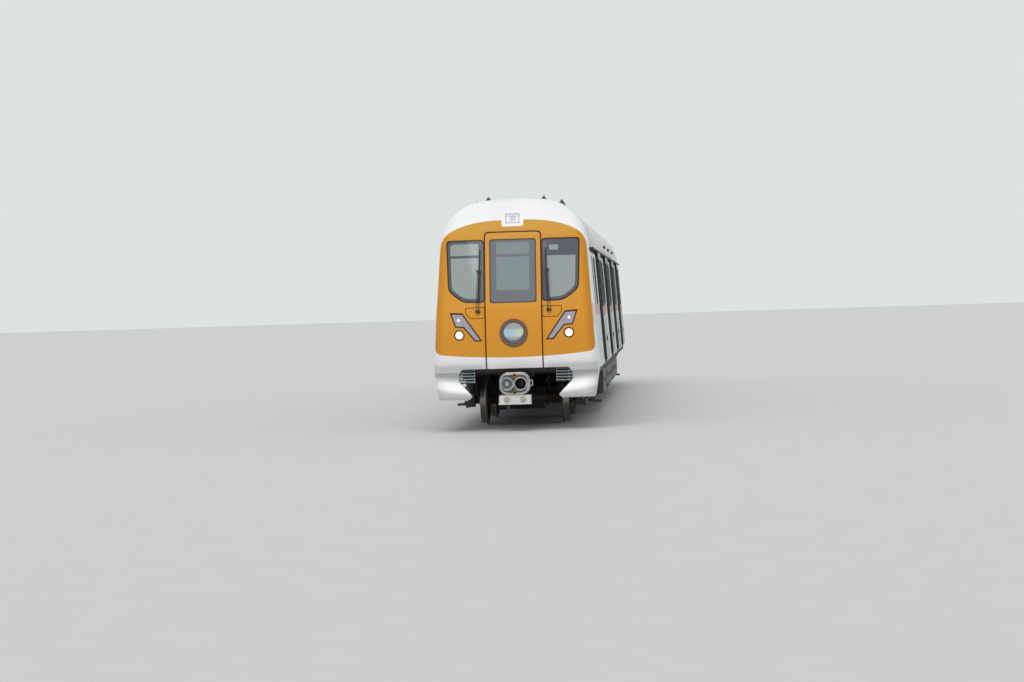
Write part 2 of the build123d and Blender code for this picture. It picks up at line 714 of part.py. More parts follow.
for end, bogie_y in BOGIE_Y.items():
    with BuildPart() as bogie_frame:
        with BuildSketch(Plane.YZ.offset(SIDE_FRAME_X[0])):
            with BuildLine():
                Polyline(
                    (bogie_y - 1290, FRAME_END_Z),
                    (bogie_y - 1290, FRAME_TOP_Z - 30),
                    (bogie_y - 1240, FRAME_TOP_Z),
                    (bogie_y - 880, FRAME_TOP_Z),
                    (bogie_y - 520, CENTRE_TOP_Z),
                    (bogie_y + 520, CENTRE_TOP_Z),
                    (bogie_y + 880, FRAME_TOP_Z),
                    (bogie_y + 1240, FRAME_TOP_Z),
                    (bogie_y + 1290, FRAME_TOP_Z - 30),
                    (bogie_y + 1290, FRAME_END_Z),
                    (bogie_y + 930, FRAME_END_Z),
                    (bogie_y + 560, CENTRE_BOTTOM_Z),
                    (bogie_y - 560, CENTRE_BOTTOM_Z),
                    (bogie_y - 930, FRAME_END_Z),
                    close=True,
                )
            make_face()
        extrude(amount=SIDE_FRAME_X[1] - SIDE_FRAME_X[0])
        mirror(about=Plane.YZ)
        with Locations((0, bogie_y - 250, 0), (0, bogie_y + 250, 0)):
            with Locations((0, 0, CENTRE_BOTTOM_Z + 30)):
                Box(2 * SIDE_FRAME_X[0] + 10, 150, 140, align=(Align.CENTER, Align.CENTER, Align.MIN))
        with Locations((0, bogie_y, CENTRE_BOTTOM_Z + 50)):
            Box(520, 400, 110, align=(Align.CENTER, Align.CENTER, Align.MIN))
        with Locations((0, bogie_y, CENTRE_BOTTOM_Z)):
            Cylinder(PIN_R + BORE_GAP, 400, mode=Mode.SUBTRACT)
        for side in (1, -1):
            with Locations((side * AIR_SPRING_X, bogie_y, CENTRE_TOP_Z)):
                Cylinder(AIR_SPRING_R + 15, 25, align=(Align.CENTER, Align.CENTER, Align.MIN))
        # Tread brakes: a curved block before each wheel, carried by the side frame
        for axle_side in (1, -1):
            axle_y = bogie_y + axle_side * WHEELBASE / 2
            with BuildSketch(Plane.YZ.offset(BRAKE_X[0])):
                with Locations((axle_y, AXLE_Z)):
                    Circle(BRAKE_R[1])
                    Circle(BRAKE_R[0], mode=Mode.SUBTRACT)
                with Locations((axle_y - axle_side * 480, AXLE_Z + 10)):
                    Rectangle(140, 280, mode=Mode.INTERSECT)
            blocks = extrude(amount=BRAKE_X[1] - BRAKE_X[0])
            mirror(blocks, about=Plane.YZ)
            for side in (1, -1):
                with Locations((side * (BRAKE_X[0] + 10), bogie_y + axle_side * 555, CENTRE_BOTTOM_Z + 20)):
                    Box(
                        SIDE_FRAME_X[0] - BRAKE_X[0],
                        120,
                        140,
                        align=(Align.MIN if side > 0 else Align.MAX, Align.CENTER, Align.MIN),
                    )
    finish(bogie_frame, f"bogie_frame_{end}")

    with BuildPart() as axle_boxes:
        for side in (1, -1):
            for axle_y in (bogie_y - WHEELBASE / 2, bogie_y + WHEELBASE / 2):
                with Locations((side * (BOX_X[0] + BOX_X[1]) / 2, axle_y, AXLE_Z)):
                    Box(BOX_X[1] - BOX_X[0], BOX_SIZE, BOX_SIZE)
                # End cover and the rubber spring, a stack of plates under the frame
                with Locations((side * BOX_X[1], axle_y, AXLE_Z)):
                    Cylinder(96, 44, rotation=(0, 90, 0))
                with Locations((side * (BOX_X[0] + BOX_X[1]) / 2, axle_y, AXLE_Z + BOX_SIZE / 2 - 1)):
                    spring_height = FRAME_END_Z - SEAT_GAP - AXLE_Z - BOX_SIZE / 2 + 1
                    Cylinder(50, spring_height, align=(Align.CENTER, Align.CENTER, Align.MIN))
                    for k in range(4):
                        with Locations((0, 0, 20 + 36 * k)):
                            Cylinder(SPRING_R - 8 * k, 16, align=(Align.CENTER, Align.CENTER, Align.MIN))
            with Locations((side * (SHOE_X[0] - 6 + SHOE_X[1]) / 2, bogie_y, RAIL + 330)):
                Box(SHOE_X[1] - SHOE_X[0] + 14, WHEELBASE + 120, 90)
            with Locations((side * (SHOE_X[1] + 60), bogie_y, RAIL + 330)):
                Box(130, 240, 60)
            with Locations((side * (SHOE_X[1] + 180), bogie_y, RAIL + 300)):
                Box(150, 320, 36)
        for axle_y in (bogie_y - WHEELBASE / 2, bogie_y + WHEELBASE / 2):
            with Locations((0, axle_y, AXLE_Z)):
                Cylinder(JOURNAL_R + BORE_GAP, 2 * JOURNAL_END_X + 2, rotation=(0, 90, 0), mode=Mode.SUBTRACT)
    finish(axle_boxes, f"axle_boxes_{end}")

    with BuildPart() as drives:
        for side in (1, -1):
            motor_y = bogie_y + side * MOTOR_OFFSET
            axle_y = bogie_y + side * WHEELBASE / 2
            with Locations((0, motor_y, AXLE_Z)):
                Cylinder(MOTOR_R, 640, rotation=(0, 90, 0))
            with Locations((0, bogie_y + side * (325 + SEAT_GAP), CENTRE_BOTTOM_Z + 40)):
                Box(300, 130, 110, align=(Align.CENTER, Align.MIN if side > 0 else Align.MAX, Align.MIN))
            with Locations((side * 420, axle_y, AXLE_Z)):
                Cylinder(200, 150, rotation=(0, 90, 0))
            with Locations((side * 420, motor_y, AXLE_Z)):
                Cylinder(150, 150, rotation=(0, 90, 0))
            with Locations((side * 420, (axle_y + motor_y) / 2, AXLE_Z)):
                Box(150, abs(axle_y - motor_y), 280)
            with Locations((side * 330, motor_y, AXLE_Z)):
                Cylinder(90, 60, rotation=(0, 90, 0))
            with Locations((0, axle_y, AXLE_Z)):
                Cylinder(AXLE_R + BORE_GAP, 1200, rotation=(0, 90, 0), mode=Mode.SUBTRACT)
    finish(drives, f"drives_{end}")

with BuildPart() as round_bellows:
    Cylinder(AIR_SPRING_R, 150)
    fillet(edges().filter_by(GeomType.CIRCLE), 55)

with BuildPart() as air_springs:
    for bogie_y in BOGIE_Y.values():
        for side in (1, -1):
            with Locations((side * AIR_SPRING_X, bogie_y, SOLE_Z)):
                Cylinder(190, SOLE_Z - CENTRE_TOP_Z - 30, align=(Align.CENTER, Align.CENTER, Align.MAX))
            with Locations((side * AIR_SPRING_X, bogie_y, (SOLE_Z + CENTRE_TOP_Z) / 2 + 60)):
                add(round_bellows.part)
finish(air_springs, "air_springs")

# Couplers: front head on a shank with a pin, electric head below, bar at the rear
HEAD_SIZE = (520, 390, 150)
HEAD_T = 330
FUNNEL_X = 103
FUNNEL_DEPTH = 210
CONE_X = -128
RING_R = (122, 98)
with BuildPart() as coupler_head:
    with BuildSketch(at_y(COUPLER_FACE_Y + HEAD_T)):
        with Locations((0, COUPLER_Z)):
            RectangleRounded(*HEAD_SIZE)
    extrude(amount=HEAD_T - 10)
    chamfer(faces().sort_by(Axis.Y)[0].edges(), 22)
    # Raised rings round the funnel and the cone, then both hollows
    with BuildSketch(at_y(COUPLER_FACE_Y + 20)):
        with Locations((FUNNEL_X, COUPLER_Z), (CONE_X + 10, COUPLER_Z)):
            Circle(RING_R[0])
    extrude(amount=20)
    with Locations((FUNNEL_X, COUPLER_FACE_Y + FUNNEL_DEPTH / 2, COUPLER_Z)):
        Cone(45, RING_R[1], FUNNEL_DEPTH, rotation=(90, 0, 0), mode=Mode.SUBTRACT)
    with BuildSketch(at_y(COUPLER_FACE_Y + 70)):
        with Locations((CONE_X, COUPLER_Z)):
            Circle(RING_R[1])
    extrude(amount=80, mode=Mode.SUBTRACT)
    with Locations((CONE_X, COUPLER_FACE_Y + 72, COUPLER_Z)):
        Cone(74, 24, 70, rotation=(90, 0, 0), align=(Align.CENTER, Align.CENTER, Align.MIN))
    # Air connections in the top and the foot of the face
    with Locations((0, COUPLER_FACE_Y + 10, COUPLER_Z + 145), (0, COUPLER_FACE_Y + 10, COUPLER_Z - 145)):
        Cylinder(24, 120, rotation=(90, 0, 0), mode=Mode.SUBTRACT)
    # Pull handle at the side
    with BuildSketch(at_y(COUPLER_FACE_Y + 70)):
        with Locations((HEAD_SIZE[0] / 2 + 16, COUPLER_Z + 10)):
            RectangleRounded(78, 104, 18)
            RectangleRounded(50, 76, 8, mode=Mode.SUBTRACT)
    extrude(amount=16)
    with Locations((0, (DRAFT_YS["front"] + COUPLER_FACE_Y + 330) / 2, COUPLER_Z)):
        Box(150, DRAFT_YS["front"] - COUPLER_FACE_Y - 330 + 4, 110)
    with Locations((0, DRAFT_YS["front"], COUPLER_Z)):
        Cylinder(105, 120)
        Cylinder(DRAFT_PIN_R + BORE_GAP, 200, mode=Mode.SUBTRACT)
finish(coupler_head, "coupler_head")

with BuildPart() as electric_head:
    with BuildSketch(at_y(COUPLER_FACE_Y + 320)):
        with Locations((0, COUPLER_Z - 195 - SEAT_GAP - 80)):
            RectangleRounded(540, 160, 24)
    extrude(amount=290)
    # Lip along the foot, and the two round contact covers
    with Locations((0, COUPLER_FACE_Y + 10, COUPLER_Z - 352)):
        Box(570, 60, 20, align=(Align.CENTER, Align.MIN, Align.MIN))
    with Locations((-140, COUPLER_FACE_Y + 30, COUPLER_Z - 264), (140, COUPLER_FACE_Y + 30, COUPLER_Z - 264)):
        Cylinder(46, 36, rotation=(90, 0, 0))
        Cylinder(26, 56, rotation=(90, 0, 0))
finish(electric_head, "electric_head")

with BuildPart() as rear_drawbar:
    with Locations((0, (DRAFT_YS["rear"] + DRAWBAR_FACE_Y) / 2, COUPLER_Z)):
        Box(150, DRAWBAR_FACE_Y - DRAFT_YS["rear"], 110)
    with Locations((0, DRAWBAR_FACE_Y, COUPLER_Z)):
        Box(300, 50, 240, align=(Align.CENTER, Align.MAX, Align.CENTER))
    with Locations(Plane.XZ.offset(-DRAWBAR_FACE_Y)):
        with Locations((0, COUPLER_Z)):
            with GridLocations(220, 160, 2, 2):
                Hole(16, depth=60)
    with Locations((0, DRAFT_YS["rear"], COUPLER_Z)):
        Cylinder(105, 120)
        Cylinder(DRAFT_PIN_R + BORE_GAP, 200, mode=Mode.SUBTRACT)
finish(rear_drawbar, "rear_drawbar")

# Under-floor equipment between the bogies
# columns: start along the car, end, depth below the sole bar
LEFT_CASES = (
    (-5500, -4100, 520),
    (-3950, -1900, 560),
    (-1750, 900, 540),
    (1050, 3300, 560),
    (3450, 5300, 500),
)
RIGHT_CASES = (
    (-5500, -3400, 540),
    (-3250, -2150, 480),
    (-2000, 650, 560),
    (800, 2300, 520),
    (2450, 5300, 550),
)
CASE_INNER_X = 520
CASE_OUTER_X = 1340
CASE_DOOR_W = 680
CASE_DOOR_T = 10
SLOT_PITCH = 44
SLOT_DEPTH = 30


def equipment_case(side, start_y, end_y, depth, grilled):
    """Case below the sole bar with a row of doors, the last one with air slots."""
    width = CASE_OUTER_X - CASE_INNER_X
    top_z = SOLE_Z - SEAT_GAP
    count = round((end_y - start_y) / CASE_DOOR_W)
    pitch = (end_y - start_y) / count
    with BuildPart() as case:
        with Locations((side * (CASE_INNER_X + width / 2), (start_y + end_y) / 2, top_z)):
            Box(width, end_y - start_y, depth, align=(Align.CENTER, Align.CENTER, Align.MAX))
        chamfer(edges().filter_by(Axis.Y).group_by(Axis.Z)[0], 30)
        for k in range(count):
            door_y = start_y + (k + 0.5) * pitch
            with Locations((side * CASE_OUTER_X, door_y, top_z - depth / 2)):
                Box(2 * CASE_DOOR_T, pitch - 50, depth - 120)
            if k < count - 1 or not grilled:
                with Locations((side * (CASE_OUTER_X + CASE_DOOR_T), door_y, top_z - depth / 2)):
                    Box(2 * CASE_DOOR_T, 26, 90)
        if grilled:
            slot_y = end_y - pitch / 2
            slot_count = int((depth - 180) / SLOT_PITCH)
            for k in range(slot_count):
                slot_z = top_z - depth / 2 + (k - (slot_count - 1) / 2) * SLOT_PITCH
                with Locations((side * (CASE_OUTER_X + CASE_DOOR_T), slot_y, slot_z)):
                    Box(2 * SLOT_DEPTH, pitch - 130, SLOT_PITCH / 2, mode=Mode.SUBTRACT)
    return case.part


with BuildPart() as equipment_cases:
    for side, cases in ((-1, LEFT_CASES), (1, RIGHT_CASES)):
        for index, (start_y, end_y, depth) in enumerate(cases):
            add(equipment_case(side, start_y, end_y, depth, index % 2 == 0))
finish(equipment_cases, "equipment_cases")

# Each pair of straps hangs from two cross bearers.
RESERVOIR_STRAPS = (BEARER_YS[2:4], BEARER_YS[7:9])
with BuildPart() as air_reservoirs:
    for start_y, end_y in RESERVOIR_STRAPS:
        with Locations((0, (start_y + end_y) / 2, SOLE_Z - 200)):
            Cylinder(170, end_y - start_y + 300, rotation=(90, 0, 0))
        with Locations((0, start_y, SOLE_Z - SEAT_GAP), (0, end_y, SOLE_Z - SEAT_GAP)):
            Box(360, 60, 200, align=(Align.CENTER, Align.CENTER, Align.MAX))
finish(air_reservoirs, "air_reservoirs")

# Compressor in the middle, hung from one bearer: a ribbed case with its motor behind it
COMPRESSOR_Y = BEARER_YS[5]
COMPRESSOR_DROP = 560
with BuildPart() as air_compressor:
    with Locations((0, COMPRESSOR_Y, SOLE_Z - SEAT_GAP)):
        Box(980, 420, 120, align=(Align.CENTER, Align.CENTER, Align.MAX))
        Box(860, 360, COMPRESSOR_DROP, align=(Align.CENTER, Align.CENTER, Align.MAX))
    chamfer(edges().filter_by(Axis.Y).group_by(Axis.Z)[0], 60)
    for k in range(7):
        with Locations((-360 + 120 * k, COMPRESSOR_Y, SOLE_Z - 160)):
            Box(14, 400, 330, align=(Align.CENTER, Align.CENTER, Align.MAX))
    with Locations((120, COMPRESSOR_Y + 380, SOLE_Z - 340)):
        Cylinder(150, 480, rotation=(90, 0, 0))
finish(air_compressor, "air_compressor")

# Roof equipment
AC_YS = (-4000, 4800)
AC_LENGTH = 3600
AC_PROFILE = ((680, 3760), (680, 4040), (610, 4110), (-610, 4110), (-680, 4040), (-680, 3760))
AC_TOP_Z = RAIL + 4110
FAN_OFFSETS = (-1150, 0, 1150)
FAN_R = 330
FAN_SPOKES = 6
AC_SLOT_YS = (-1500, -900, -300, 300, 900, 1500)
with BuildPart() as air_conditioners:
    for y in AC_YS:
        with BuildSketch(at_y(y + AC_LENGTH / 2)):
            with BuildLine():
                Polyline(*[(x, RAIL + z) for x, z in AC_PROFILE], close=True)
            make_face()
        extrude(amount=AC_LENGTH)
        # Each fan sits in a round well under a ring with spokes.
        for fan_offset in FAN_OFFSETS:
            with Locations((0, y + fan_offset, AC_TOP_Z)):
                Cylinder(FAN_R, 20, align=(Align.CENTER, Align.CENTER, Align.MIN))
                Cylinder(FAN_R - 35, 70, mode=Mode.SUBTRACT)
            with Locations((0, y + fan_offset, AC_TOP_Z - 4)):
                Cylinder(80, 24, align=(Align.CENTER, Align.CENTER, Align.MIN))
                with PolarLocations((FAN_R - 15) / 2, FAN_SPOKES):
                    Box(FAN_R - 15, 16, 12, align=(Align.CENTER, Align.CENTER, Align.MIN))
        for slot_offset in AC_SLOT_YS:
            for level in (0, 1, 2):
                with Locations((0, y + slot_offset, RAIL + 3970 + 30 * level)):
                    Box(1400, 440, 12, mode=Mode.SUBTRACT)
                    Box(1300, 440, 12)
    extrude(body_face(ROOF_REAR_Y, -SEAT_GAP, WALL_TOP_Z - 200), amount=roof_length, mode=Mode.SUBTRACT)
finish(air_conditioners, "air_conditioners")

# columns: x, distance behind the nose, height of the top above the treads
ANTENNAS = ((-667, 1200, 3998), (-461, 1240, 4072), (522, 1240, 4066), (840, 1220, 3990))
# Side view of a fin, and how much its foot is wider than its top
FIN = ((-90, -200), (-70, -60), (-25, 0), (45, 0), (75, -60), (90, -200))
FIN_HALF = (12, 60)
with BuildPart() as roof_antennas:
    for x, back, top in ANTENNAS:
        with BuildSketch(Plane.YZ.offset(x)):
            with BuildLine():
                Polyline(*[(NOSE_Y + back + y, RAIL + top + z) for y, z in FIN], close=True)
            make_face()
        extrude(amount=FIN_HALF[1], both=True)
        for side in (1, -1):
            with BuildSketch(at_y(NOSE_Y + back + 100)):
                with BuildLine():
                    Polyline(
                        (x + side * FIN_HALF[0], RAIL + top + 1),
                        (x + side * FIN_HALF[1], RAIL + top - 90),
                        (x + side * (FIN_HALF[1] + 1), RAIL + top + 1),
                        close=True,
                    )
                make_face()
            extrude(amount=200, mode=Mode.SUBTRACT)
    add(nose_outer, mode=Mode.SUBTRACT)
finish(roof_antennas, "roof_antennas")

# Wipers, parked upright beside the escape door: a double arm carries the blade.
GLASS_LEAN = radians(14.5)
WIPER_X = 610
WIPER_FOOT = -172
# columns: across, up the glass, stand-off, width, length, thickness
WIPER_TILT = 2.4
WIPER_BARS = (
    (0, 475, 8, 10, 950, 16),
    (0, 475, 22, 20, 900, 12),
    (4, 540, 32, 74, 40, 22),
    (-18, 190, 36, 11, 720, 14),
    (26, 190, 36, 8, 720, 12),
)
with BuildPart() as wipers:
    for side in (1, -1):
        bow = NOSE_CROWN_R - sqrt(NOSE_CROWN_R**2 - WIPER_X**2)
        on_glass = Plane(
            (side * WIPER_X, NOSE_Y + 93 + bow, RAIL + 2215),
            x_dir=(1, 0, 0),
            z_dir=(0, -cos(GLASS_LEAN), sin(GLASS_LEAN)),
        )
        with Locations(on_glass * Rotation(0, 0, side * WIPER_TILT)):
            for across, up, off, width, length, thickness in WIPER_BARS:
                with Locations((side * across, up, off)):
                    Box(width, length, thickness, align=(Align.CENTER, Align.CENTER, Align.MIN))
            with Locations((side * -18, WIPER_FOOT, -40)):
                Cylinder(26, 96, align=(Align.CENTER, Align.CENTER, Align.MIN))
            with Locations((side * 26, WIPER_FOOT, -40)):
                Cylinder(16, 90, align=(Align.CENTER, Align.CENTER, Align.MIN))
    add(nose_outer, mode=Mode.SUBTRACT)
finish(wipers, "wipers")

# Louvres either side of the coupler: tilted slats between two posts
LOUVRE_X = (706, 984)
LOUVRE_Z = (RAIL + 806, RAIL + 1058)
LOUVRE_COUNT = 5
LOUVRE_TILT = 35
POST_W = 14
louvre_length = LOUVRE_X[1] - LOUVRE_X[0]
louvre_pitch = (LOUVRE_Z[1] - LOUVRE_Z[0]) / LOUVRE_COUNT
with BuildPart() as front_louvres:
    for side in (1, -1):
        mid_x = side * (LOUVRE_X[0] + louvre_length / 2)
        for k in range(LOUVRE_COUNT):
            slat_z = LOUVRE_Z[0] + (k + 0.5) * louvre_pitch
            with Locations(Location((mid_x, NOSE_Y + 160, slat_z), (LOUVRE_TILT, 0, 0))):
                Box(louvre_length, 52, 10)
        for post_x in (LOUVRE_X[0] + POST_W / 2, LOUVRE_X[1] - 62):
            with Locations((side * post_x, NOSE_Y + 150, (LOUVRE_Z[0] + LOUVRE_Z[1]) / 2)):
                Box(POST_W, 90, LOUVRE_Z[1] - LOUVRE_Z[0], align=(Align.CENTER, Align.MIN, Align.CENTER))
    add(front_prism(opening_points, SEAT_GAP, OPENING_R, mirrored=False), mode=Mode.INTERSECT)
    add(underframe.part, mode=Mode.SUBTRACT)
finish(front_louvres, "front_louvres")

# Inside: cab partition, desk and seat, benches and grab rails
inner_half = skin_x(FLOOR_Z) - WALL_T
with BuildPart() as cab_bulkhead:
    extrude(body_face(BULKHEAD_Y + 60, WALL_T + 3, FLOOR_Z), amount=60)
finish(cab_bulkhead, "cab_bulkhead")

DESK_X = (-1190, -500)
with BuildPart() as driver_desk:
    with BuildSketch(Plane.YZ.offset(DESK_X[0])):
        with BuildLine():
            Polyline(
                (NOSE_Y + 420, FLOOR_Z),
                (NOSE_Y + 420, RAIL + 1950),
                (NOSE_Y + 560, RAIL + 2010),
                (NOSE_Y + 640, RAIL + 1880),
                (NOSE_Y + 1020, RAIL + 1830),
                (NOSE_Y + 1020, RAIL + 1780),
                (NOSE_Y + 760, FLOOR_Z + 500),
                (NOSE_Y + 760, FLOOR_Z),
                close=True,
            )
        make_face()
    extrude(amount=DESK_X[1] - DESK_X[0])
    with Locations((850, NOSE_Y + 600, FLOOR_Z)):
        Box(620, 340, 720, align=(Align.CENTER, Align.CENTER, Align.MIN))
finish(driver_desk, "driver_desk")

with BuildPart() as driver_seat:
    with Locations((-850, NOSE_Y + 1400, FLOOR_Z)):
        Cylinder(170, 30, align=(Align.CENTER, Align.CENTER, Align.MIN))
        Cylinder(45, 400, align=(Align.CENTER, Align.CENTER, Align.MIN))
        with Locations((0, 0, 380)):
            Box(480, 460, 110, align=(Align.CENTER, Align.CENTER, Align.MIN))
        with Locations((0, 220, 470)):
            Box(460, 110, 640, align=(Align.CENTER, Align.CENTER, Align.MIN))
finish(driver_seat, "driver_seat")

with BuildPart() as bench_seats:
    starts = [BULKHEAD_Y + 61, *bay_edges[2::2]]
    for start_y, end_y in zip(starts, bay_edges[1::2]):
        with BuildSketch(at_y(end_y - 180)):
            with BuildLine():
                Polyline(
                    (inner_half - 30 - 440, FLOOR_Z + 380),
                    (inner_half - 30 - 440, FLOOR_Z + 430),
                    (inner_half - 30 - 70, FLOOR_Z + 410),
                    (inner_half - 45 - 860 * tan_lean, FLOOR_Z + 860),
                    (inner_half - SEAT_GAP - 860 * tan_lean, FLOOR_Z + 860),
                    (inner_half - SEAT_GAP - 380 * tan_lean, FLOOR_Z + 380),
                    (inner_half - 60, FLOOR_Z + 380),
                    (inner_half - 60, FLOOR_Z),
                    (inner_half - 120, FLOOR_Z),
                    (inner_half - 120, FLOOR_Z + 330),
                    close=True,
                )
            make_face()
        extrude(amount=end_y - start_y - 360)
    mirror(about=Plane.YZ)
finish(bench_seats, "bench_seats")

POLE_R = 17
with BuildPart() as grab_rails:
    for side in (1, -1):
        for y in door_ys:
            for offset_y in (-DOOR_CLEAR / 2 - 60, DOOR_CLEAR / 2 + 60):
                with Locations((side * 860, y + offset_y, FLOOR_Z)):
                    Cylinder(POLE_R, 2090, align=(Align.CENTER, Align.CENTER, Align.MIN))
        with Locations((side * 860, 1120, FLOOR_Z + 1900)):
            Cylinder(POLE_R, 18600, rotation=(90, 0, 0))
finish(grab_rails, "grab_rails")
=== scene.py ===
# %% [markdown]
# The driving car of a metro train, dressed for its portrait.
# The shapes that must be right to the millimetre, such as wheels, doors, body shell and
# bogies, come ready-made from the imported model. Blender adds the finish: steel, paint,
# glass, rubber, gaskets and the small pieces that a railway vehicle carries outside.
# The first cell loads the model and gathers its parts by name.

# %% Load the imported model
import json
import math

import bpy
from mathutils import Matrix, Vector


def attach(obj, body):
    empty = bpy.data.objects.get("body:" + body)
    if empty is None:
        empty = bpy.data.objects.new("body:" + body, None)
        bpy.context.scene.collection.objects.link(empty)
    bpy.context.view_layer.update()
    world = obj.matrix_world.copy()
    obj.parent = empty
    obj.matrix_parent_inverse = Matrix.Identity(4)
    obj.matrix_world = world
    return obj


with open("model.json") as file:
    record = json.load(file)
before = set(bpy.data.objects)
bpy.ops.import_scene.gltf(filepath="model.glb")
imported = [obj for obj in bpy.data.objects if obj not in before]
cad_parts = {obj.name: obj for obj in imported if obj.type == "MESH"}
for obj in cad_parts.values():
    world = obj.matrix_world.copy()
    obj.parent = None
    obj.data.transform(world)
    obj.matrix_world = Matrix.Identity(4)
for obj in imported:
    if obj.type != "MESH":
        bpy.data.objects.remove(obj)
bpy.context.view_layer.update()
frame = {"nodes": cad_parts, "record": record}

# %% [markdown]
# The camera sees the car as its reference picture does: from 39 m in front of the cab,
# 2.7 m to the right of the car's middle plane and a little above eye height, with a long
# lens. The picture leans by 1.7 degrees. The car's length runs to one vanishing point,
# and from that point, the lean and the lens the camera's axes are worked out.

# %% Camera
IMAGE_WIDTH = 1024
IMAGE_HEIGHT = 682
LENS_PIXELS = 2260.0
SENSOR_WIDTH = 36.0
VANISHING_POINT = (672.0, 298.6)
LEAN = 0.0295
CAMERA_PLACE = Vector((2.733, -49.67, 2.204))

along = Vector((
    (VANISHING_POINT[0] - IMAGE_WIDTH / 2) / LENS_PIXELS,
    -(VANISHING_POINT[1] - IMAGE_HEIGHT / 2) / LENS_PIXELS,
    -1.0,
)).normalized()
up = Vector((-LEAN, 1.0, 0.0))
up = (up - up.dot(along) * along).normalized()
across = along.cross(up)
turn = Matrix((across, along, up))

camera_data = bpy.data.cameras.new("camera")
camera_data.sensor_width = SENSOR_WIDTH
camera_data.lens = SENSOR_WIDTH * LENS_PIXELS / IMAGE_WIDTH
camera_data.clip_end = 500.0
camera = bpy.data.objects.new("camera", camera_data)
bpy.context.scene.collection.objects.link(camera)
camera.matrix_world = Matrix.Translation(CAMERA_PLACE) @ turn.to_4x4()
bpy.context.scene.camera = camera
print("camera lens in mm", round(camera_data.lens, 1))

# %% [markdown]
# Light and finishes are both made of shader nodes. Three helpers keep their recipes
# short: one feeds a node's inputs, one makes a node and feeds it, and one does a sum.
# The node tree need not be named, because each socket knows the tree that it is in.

# %% Helpers for nodes
def feed(node, values):
    """Feeds a node's inputs, by name or number, with values or other nodes' outputs."""
    for name, value in values.items():
        if isinstance(value, bpy.types.NodeSocket):
            node.id_data.links.new(value, node.inputs[name])
        else:
            node.inputs[name].default_value = value


def new_node(tree, kind, values):
    """A new node with its inputs fed."""
    node = tree.nodes.new(kind)
    feed(node, values)
    return node


def maths(operation, *values):
    """One Math node, fed by numbers or sockets, returned as its socket."""
    sockets = [value for value in values if isinstance(value, bpy.types.NodeSocket)]
    node = sockets[0].id_data.nodes.new("ShaderNodeMath")
    node.operation = operation
    feed(node, dict(enumerate(values)))
    return node.outputs[0]


# %% [markdown]
# The stage is a pale floor and a soft sky. The world gives most of the light, as on an
# overcast day, and one very soft sun from the upper left gives the shapes a bright and
# a shaded side. The sky looks pale to the camera and in reflections, but it lights the
# car at its own, lower strength, so that paint shows the colour that it was given.

# %% Stage and light
LIGHTING_SKY = {"Color": (0.93, 0.96, 1.0, 1.0), "Strength": 0.62}
SEEN_SKY = {"Color": (0.72, 0.77, 0.74, 1.0), "Strength": 1.0}

scene = bpy.context.scene
scene.view_settings.view_transform = "Standard"

world = bpy.data.worlds.new("sky")
scene.world = world
world.use_nodes = True
sky = world.node_tree
sky.nodes.clear()
ray = sky.nodes.new("ShaderNodeLightPath").outputs
seen = maths("MAXIMUM", ray["Is Camera Ray"], ray["Is Glossy Ray"])
seen = maths("MAXIMUM", seen, ray["Is Transmission Ray"])
lighting = new_node(sky, "ShaderNodeBackground", LIGHTING_SKY).outputs[0]
backdrop = new_node(sky, "ShaderNodeBackground", SEEN_SKY).outputs[0]
light = new_node(sky, "ShaderNodeMixShader", {"Fac": seen, 1: lighting, 2: backdrop})
new_node(sky, "ShaderNodeOutputWorld", {"Surface": light.outputs[0]})

sun_data = bpy.data.lights.new("soft_sun", "SUN")
sun_data.energy = 1.6
sun_data.angle = math.radians(50)
sun_data.color = (1.0, 0.98, 0.95)
sun = bpy.data.objects.new("soft_sun", sun_data)
sun.rotation_euler = (math.radians(34), math.radians(-16), math.radians(15))
scene.collection.objects.link(sun)

bpy.ops.mesh.primitive_plane_add(size=600, location=(0, 0, 0))
floor = bpy.context.object
floor.name = "floor"

# %% [markdown]
# Every finish is a small recipe of shader nodes that reads Object coordinates, so the
# pattern sticks to the piece. A noise texture, often stretched along the car, breaks up
# the colour and the roughness a little, because no real panel is perfectly even. Colours
# are written as red, green and blue.

# %% Helpers for finishes
PATTERN_TURN = (0.7, 0.5, 0.9)


def new_material(name):
    """An empty node material with its Principled shader, returned with its node tree."""
    material = bpy.data.materials.new(name)
    material.use_nodes = True
    tree = material.node_tree
    return material, tree, tree.nodes["Principled BSDF"]


def object_noise(tree, scale, stretch=(1, 1, 1), detail=4):
    """Noise on Object coordinates, stretched along the axes by the three numbers.

    After the stretch the pattern is turned, or its hidden grid would show as squares.
    """
    place = tree.nodes.new("ShaderNodeTexCoord").outputs["Object"]
    turned = {"Vector": place, "Scale": stretch, "Rotation": PATTERN_TURN}
    place = new_node(tree, "ShaderNodeMapping", turned).outputs["Vector"]
    noise = {"Vector": place, "Scale": scale, "Detail": detail}
    return new_node(tree, "ShaderNodeTexNoise", noise).outputs["Fac"]


def map_range(value, low, high, from_low=0.0, from_high=1.0):
    """A value between two limits carried to a range between low and high."""
    old_range = {"Value": value, "From Min": from_low, "From Max": from_high}
    node = new_node(value.id_data, "ShaderNodeMapRange", old_range)
    feed(node, {"To Min": low, "To Max": high})
    return node.outputs["Result"]


def mix_colours(factor, first, second):
    """Mixes two colours, each given as three numbers or a socket, by a factor socket."""
    node = factor.id_data.nodes.new("ShaderNodeMix")
    node.data_type = "RGBA"
    feed(node, {"Factor": factor})
    for given, name in ((first, "A"), (second, "B")):
        number = [s.name == name and s.type == "RGBA" for s in node.inputs].index(True)
        feed(node, {number: (*given, 1.0) if isinstance(given, tuple) else given})
    return [s for s in node.outputs if s.type == "RGBA"][0]


